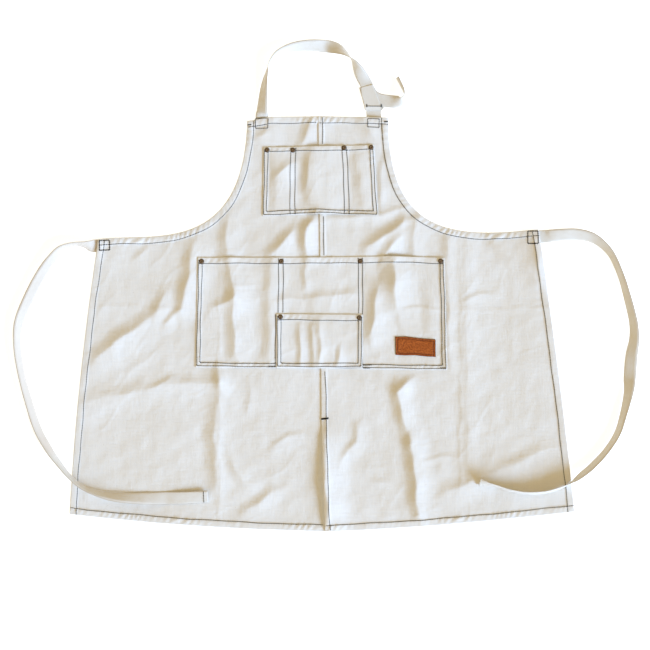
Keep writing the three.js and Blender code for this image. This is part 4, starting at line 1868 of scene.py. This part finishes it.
@dataclass
class NeckLoop:
    """A tape folded at its left side round the strap, sewn together below, with a tab under the bib."""

    finishes: Finishes
    stitching: Stitching
    top_left: Point = (75, 395.9)
    top_right: Point = (101, 402.5)
    low_right: Point = (121.5, 351)
    low_left: Point = (86.8, 350.5)
    tab: Line = ((118.5, 350), (117, 315.5), (90, 315.5), (88.5, 350))
    right_shoulder: Point = (124, 356)
    left_shoulder: Point = (85.6, 355.4)
    row: Line = ((89, 359.6), (119, 359.6))
    tacks: tuple[tuple[float, ...], ...] = (
        (89.5, 357.6, 89.5, 361.8, 3.0),
        (118.5, 357.6, 118.5, 361.8, 3.0),
    )
    flat: Point = (0.055, 0.088)
    front_level: float = 4.0
    sewn_level: float = 2.3
    sewn_from: float = 358.5
    sewn_ease: float = 7.0
    back_level: float = 0.75
    back_wall: float = 1.1
    table_clear: float = 0.05
    spacing: float = 2.0
    weave_scale: float = 0.6

    def _front(self) -> tuple[Array, Array, Array]:
        """The folded front layer.

        Returns:
            Its vertices, its quads and its weave coordinates.
        """
        downs = np.linspace(0.0, 1.0, 40)
        bends = np.linspace(-math.pi / 2.0, math.pi / 2.0, 10)
        spreads = np.linspace(0.0, 1.0, 16)[1:]
        left = np.array(self.top_left) + downs[:, None] * np.subtract(self.low_left, self.top_left)
        right = np.array(self.top_right) + downs[:, None] * np.subtract(self.low_right, self.top_right)
        across = (right - left) / np.linalg.norm(right - left, axis=1, keepdims=True)
        middle = (left + right) / 2.0
        drop = smooth((self.sewn_from - middle[:, 1]) / self.sewn_ease)
        level = self.front_level - (self.front_level - self.sewn_level) * drop
        radius = (level - self.back_level) / 2.0
        rows = []
        normals = []
        for k in range(len(downs)):
            centre = left[k] + across[k] * radius[k]
            bend = centre - across[k] * (radius[k] * np.cos(bends))[:, None]
            bend_z = self.back_level + radius[k] * (1.0 + np.sin(bends))
            flat = centre + (right[k] - centre) * spreads[:, None]
            plan = np.concatenate([bend, flat])
            z = np.concatenate([bend_z, np.full(len(spreads), level[k])])
            out = np.concatenate([np.cos(bends), np.zeros(len(spreads))])
            lift = np.concatenate([np.sin(bends), np.ones(len(spreads))])
            rows.append(np.column_stack([plan, z]))
            normals.append(np.column_stack([-across[k] * out[:, None], lift]))
        middle_layer = np.array(rows)
        half = np.array(normals) * TAPE / 2.0
        outer = middle_layer + half
        inner = middle_layer - half
        inner[:, :, 2] = np.maximum(inner[:, :, 2], self.table_clear)
        count, size = middle_layer.shape[:2]
        quads = tube_walls(count, 2 * size)
        strips = np.arange(size - 1)
        ends = np.column_stack([strips, strips + 1, 2 * size - 2 - strips, 2 * size - 1 - strips])
        caps = np.concatenate([ends[:, ::-1], ends + (count - 1) * 2 * size])
        vertices = np.concatenate([outer, inner[:, ::-1]], axis=1).reshape(-1, 3)
        return vertices, np.concatenate([quads, caps])[:, ::-1], self._weave(vertices[:, :2])

    def _weave(self, points: Array) -> Array:
        """Place of plan points across and along the loop's tape."""
        middle = np.array((self.top_left[0] + self.low_right[0], 2.0 * self.low_left[1])) / 2.0
        return (points - middle) * self.weave_scale

    def build(self) -> None:
        """Makes the loop with its back layer and tab, and the row that closes it."""
        corners = [self.top_left, self.top_right, self.right_shoulder, *self.tab, self.left_shoulder]
        back = ClothSheet(
            "neck_loop_tape",
            Outline(raw_edges(corners), self.spacing),
            lambda x, y: np.full_like(x, self.table_clear),
            thickness=self.back_wall,
            spacing=self.spacing,
        ).build()
        vertices, quads, weave = self._front()
        front = mesh_object("neck_loop_front", vertices, [quads], weave)
        layer = back.data.uv_layers.new(name="weave")
        spots = np.array([vertex.co[:2] for vertex in back.data.vertices]) / MM
        corner_of = np.zeros(len(back.data.loops), dtype=np.int32)
        back.data.loops.foreach_get("vertex_index", corner_of)
        layer.data.foreach_set("uv", self._weave(spots)[corner_of].astype(np.float32).ravel())
        with bpy.context.temp_override(active_object=back, selected_editable_objects=[back, front]):
            bpy.ops.object.join()
        loop = self.finishes.dress(back, Slot.TAPE, "neck_loop")
        level = self.front_level + TAPE / 2.0
        bars = [self.stitching.along(self.row)]
        bars += [self.stitching.tack(*tack) for tack in self.tacks]
        thread = self.stitching.build("neck_loop_stitches", bars, lambda x, y: np.full_like(x, level))
        self.finishes.dress(thread, Slot.THREAD)


# Patch and rivets


@dataclass
class LeatherPatch:
    """A leather patch with slightly wavy edges and a plain pressed border."""

    finishes: Finishes
    corners: Line = (
        (146.4, -101.9), (168, -101.7), (198, -105.3), (226.8, -107.5),
        (227.2, -142.3), (206, -141.2), (186, -138.9), (166, -139.2), (147.2, -138.3),
    )
    border: float = 4.0
    border_width: float = 1.0
    border_depth: float = 0.6
    border_burn: float = 0.9
    cut_burn: float = 2.2
    cut_rings: tuple[float, ...] = (0.45, 1.0)
    spacing: float = 0.95

    def build(self, under: HeightAt) -> None:
        """Makes the patch.

        Args:
            under: Height of its underside.
        """
        outline = Outline(raw_edges(self.corners), self.spacing)
        border_rings = (self.border + k * self.border_width / 2.0 for k in (-2, -1, 0, 1, 2))
        sheet = ClothSheet(
            "leather_patch_hide",
            outline,
            under,
            thickness=LEATHER,
            spacing=self.spacing,
            rings=(*self.cut_rings, *border_rings),
        )
        patch = sheet.build()
        spots = np.array([vertex.co[:] for vertex in patch.data.vertices]) / MM
        depth, _ = nearest(spots[:, :2], [outline.closed()])
        pressed = np.exp(-(((depth - self.border) / self.border_width) ** 2))
        upper = spots[:, 2] > under(spots[:, 0], spots[:, 1]) + LEATHER / 2.0
        spots[upper, 2] -= (self.border_depth * pressed)[upper]
        patch.data.vertices.foreach_set("co", (spots * MM).astype(np.float32).ravel())
        patch.data.update()
        burnt = np.maximum(self.border_burn * pressed, 1.0 - smooth(depth / self.cut_burn))
        carry(patch, "burnish", burnt)
        self.finishes.dress(patch, Slot.LEATHER, "leather_patch")


@dataclass
class Rivets:
    """Domed rivet caps at the pocket mouths, each with a rim and a dimpled crown."""

    finishes: Finishes
    radius: float = 5.0
    segments: int = 40
    seat_share: float = 0.8
    seat_gap: float = 0.15
    bright_rings: tuple[tuple[float, float, float], ...] = ((2.3, 0.8, 1.0), (4.8, 0.25, 0.6))
    profile: Line = (
        (0.0, 1.75), (0.9, 1.8), (1.5, 2.05), (2.0, 2.3), (2.6, 2.35), (3.3, 2.15), (3.9, 1.75), (4.2, 1.4),
        (4.35, 1.25), (4.6, 1.25), (4.85, 1.1), (5.0, 0.75), (4.95, 0.3), (4.6, -0.2), (0.0, -0.2),
    )

    def build(self, groups: dict[str, tuple[int, HeightAt]]) -> None:
        """Makes the caps where the frame has them.

        Args:
            groups: For each name, how many rivets there are and the height of the cloth's upper face.
        """
        for name, (count, top) in groups.items():
            for number in range(1, count + 1):
                node = f"{name}_{number}"
                low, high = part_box(node)
                x = (low.x + high.x) / 2.0 / MM
                y = (low.y + high.y) / 2.0 / MM
                self._cap(node, x, y, top)

    def _cap(self, node: str, x: float, y: float, top: HeightAt) -> None:
        """Makes one cap, seated on the cloth.

        Args:
            node: The frame's node.
            x: Across position.
            y: Along position.
            top: Height of the cloth's upper face.
        """
        angle = np.linspace(0.0, 2.0 * math.pi, self.segments, endpoint=False)
        rim_x = x + self.radius * self.seat_share * np.cos(angle)
        rim_y = y + self.radius * self.seat_share * np.sin(angle)
        seat = float(np.mean(top(rim_x, rim_y))) + self.seat_gap
        rings = np.array(self.profile[1:-1])
        circle = np.column_stack([np.cos(angle), np.sin(angle)])
        walls = [np.column_stack([circle * r + (x, y), np.full(len(angle), seat + z)]) for r, z in rings]
        poles = np.array([(x, y, seat + self.profile[0][1]), (x, y, seat + self.profile[-1][1])])
        vertices = np.concatenate([*walls, poles])
        k = np.arange(self.segments)
        after = (k + 1) % self.segments
        quads = [
            np.column_stack([after, k, k + self.segments, after + self.segments]) + ring * self.segments
            for ring in range(len(rings) - 1)
        ]
        foot = (len(rings) - 1) * self.segments
        crown = len(rings) * self.segments
        tips = np.concatenate([
            np.column_stack([k, after, np.full(self.segments, crown)]),
            np.column_stack([after + foot, k + foot, np.full(self.segments, crown + 1)]),
        ])
        cap = mesh_object(f"{node}_cap", vertices, [np.concatenate(quads), tips])
        reach = np.hypot(vertices[:, 0] - x, vertices[:, 1] - y)
        wear = sum(
            bright * np.exp(-(((reach - place) / width) ** 2)) for place, width, bright in self.bright_rings
        )
        carry(cap, "wear", wear)
        self.finishes.dress(cap, Slot.RIVET, node)


# Studio


@dataclass
class Studio:
    """White table, one soft key light from the lower right, an even warm sky, and the camera."""

    centre: Point = (6.0, -78.5)
    frame_width: float = 1300.0
    height: float = 5200.0
    sensor: float = 36.0
    key_from: tuple[float, float, float] = (0.73, -0.53, 0.43)
    key_colour: Colour = (0.42, 0.64, 1.0)
    key_strength: float = 4.85
    key_softness: float = 32.0
    sky_colour: Colour = (1.0, 0.8, 0.475)
    sky_strength: float = 0.645
    table_half: float = 12000.0
    table_level: float = -0.6
    table_tones: tuple[Colour, Colour] = ((0.93, 0.93, 0.93), (0.9, 0.9, 0.9))
    table_glow: tuple[float, ...] = (0.86, 0.93, 1.0, 1.0)
    table_glow_strength: float = 0.66

    def _key(self) -> None:
        """Adds the key, a far light."""
        lamp = bpy.data.lights.new("key", "SUN")
        lamp.color = self.key_colour
        lamp.energy = self.key_strength
        lamp.angle = math.radians(self.key_softness)
        holder = bpy.data.objects.new("key", lamp)
        holder.rotation_mode = "QUATERNION"
        holder.rotation_quaternion = Vector(self.key_from).to_track_quat("Z", "Y")
        bpy.context.scene.collection.objects.link(holder)

    def _floor(self) -> None:
        """Adds the white table."""
        half = self.table_half
        plan = ((-half, -half), (half, -half), (half, half), (-half, half))
        corners = np.array([(x, y, self.table_level) for x, y in plan])
        floor = mesh_object("table", corners, [np.array([[0, 1, 2, 3]])])
        graph = Graph("white_table")
        grain = graph.noise(graph.place(), 3.0)
        surface = graph.surface({
            "Base Color": graph.mix(grain, *self.table_tones),
            "Roughness": 0.9,
            "Emission Color": self.table_glow,
            "Emission Strength": self.table_glow_strength,
        })
        floor.data.materials.append(surface)

    def build(self) -> None:
        """Sets the table, the lights, the sky and the camera."""
        self._floor()
        self._key()
        scene = bpy.context.scene
        world = bpy.data.worlds.new("studio")
        world.use_nodes = True
        sky = world.node_tree.nodes["Background"]
        sky.inputs["Color"].default_value = (*self.sky_colour, 1.0)
        sky.inputs["Strength"].default_value = self.sky_strength
        scene.world = world
        scene.view_settings.view_transform = "Standard"
        lens = bpy.data.cameras.new("camera")
        lens.sensor_width = self.sensor
        lens.lens = self.sensor * self.height / self.frame_width
        lens.clip_end = 100.0
        camera = bpy.data.objects.new("camera", lens)
        camera.location = (self.centre[0] * MM, self.centre[1] * MM, self.height * MM)
        scene.collection.objects.link(camera)
        scene.camera = camera


def main() -> None:
    """Builds the apron on the frame, piece by piece."""
    logging.basicConfig(level=logging.INFO, format="%(message)s")
    for leftover in list(bpy.data.objects):
        bpy.data.objects.remove(leftover)
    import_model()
    Studio().build()
    finishes = Finishes()
    lie = ClothLie()
    stitching = Stitching()
    body = Body(finishes, lie, stitching)
    body.build()
    Ties(finishes, stitching).build(body.top)
    NeckStrap(finishes).build(body.top)
    NeckLoop(finishes, stitching).build()
    bib = BIB_POCKET.build(finishes, lie.bib_pocket, stitching)
    lower = LOWER_POCKET.build(finishes, lie.lower_pocket, stitching)
    centre = CENTRE_POCKET.build(finishes, lie.centre_pocket, stitching)
    LeatherPatch(finishes).build(lie.over_lower_pocket)
    Rivets(finishes).build({
        "bib_rivet": (4, bib.top),
        "pocket_rivet": (4, lower.top),
        "centre_rivet": (2, centre.top),
    })


if __name__ == "__main__":
    main()
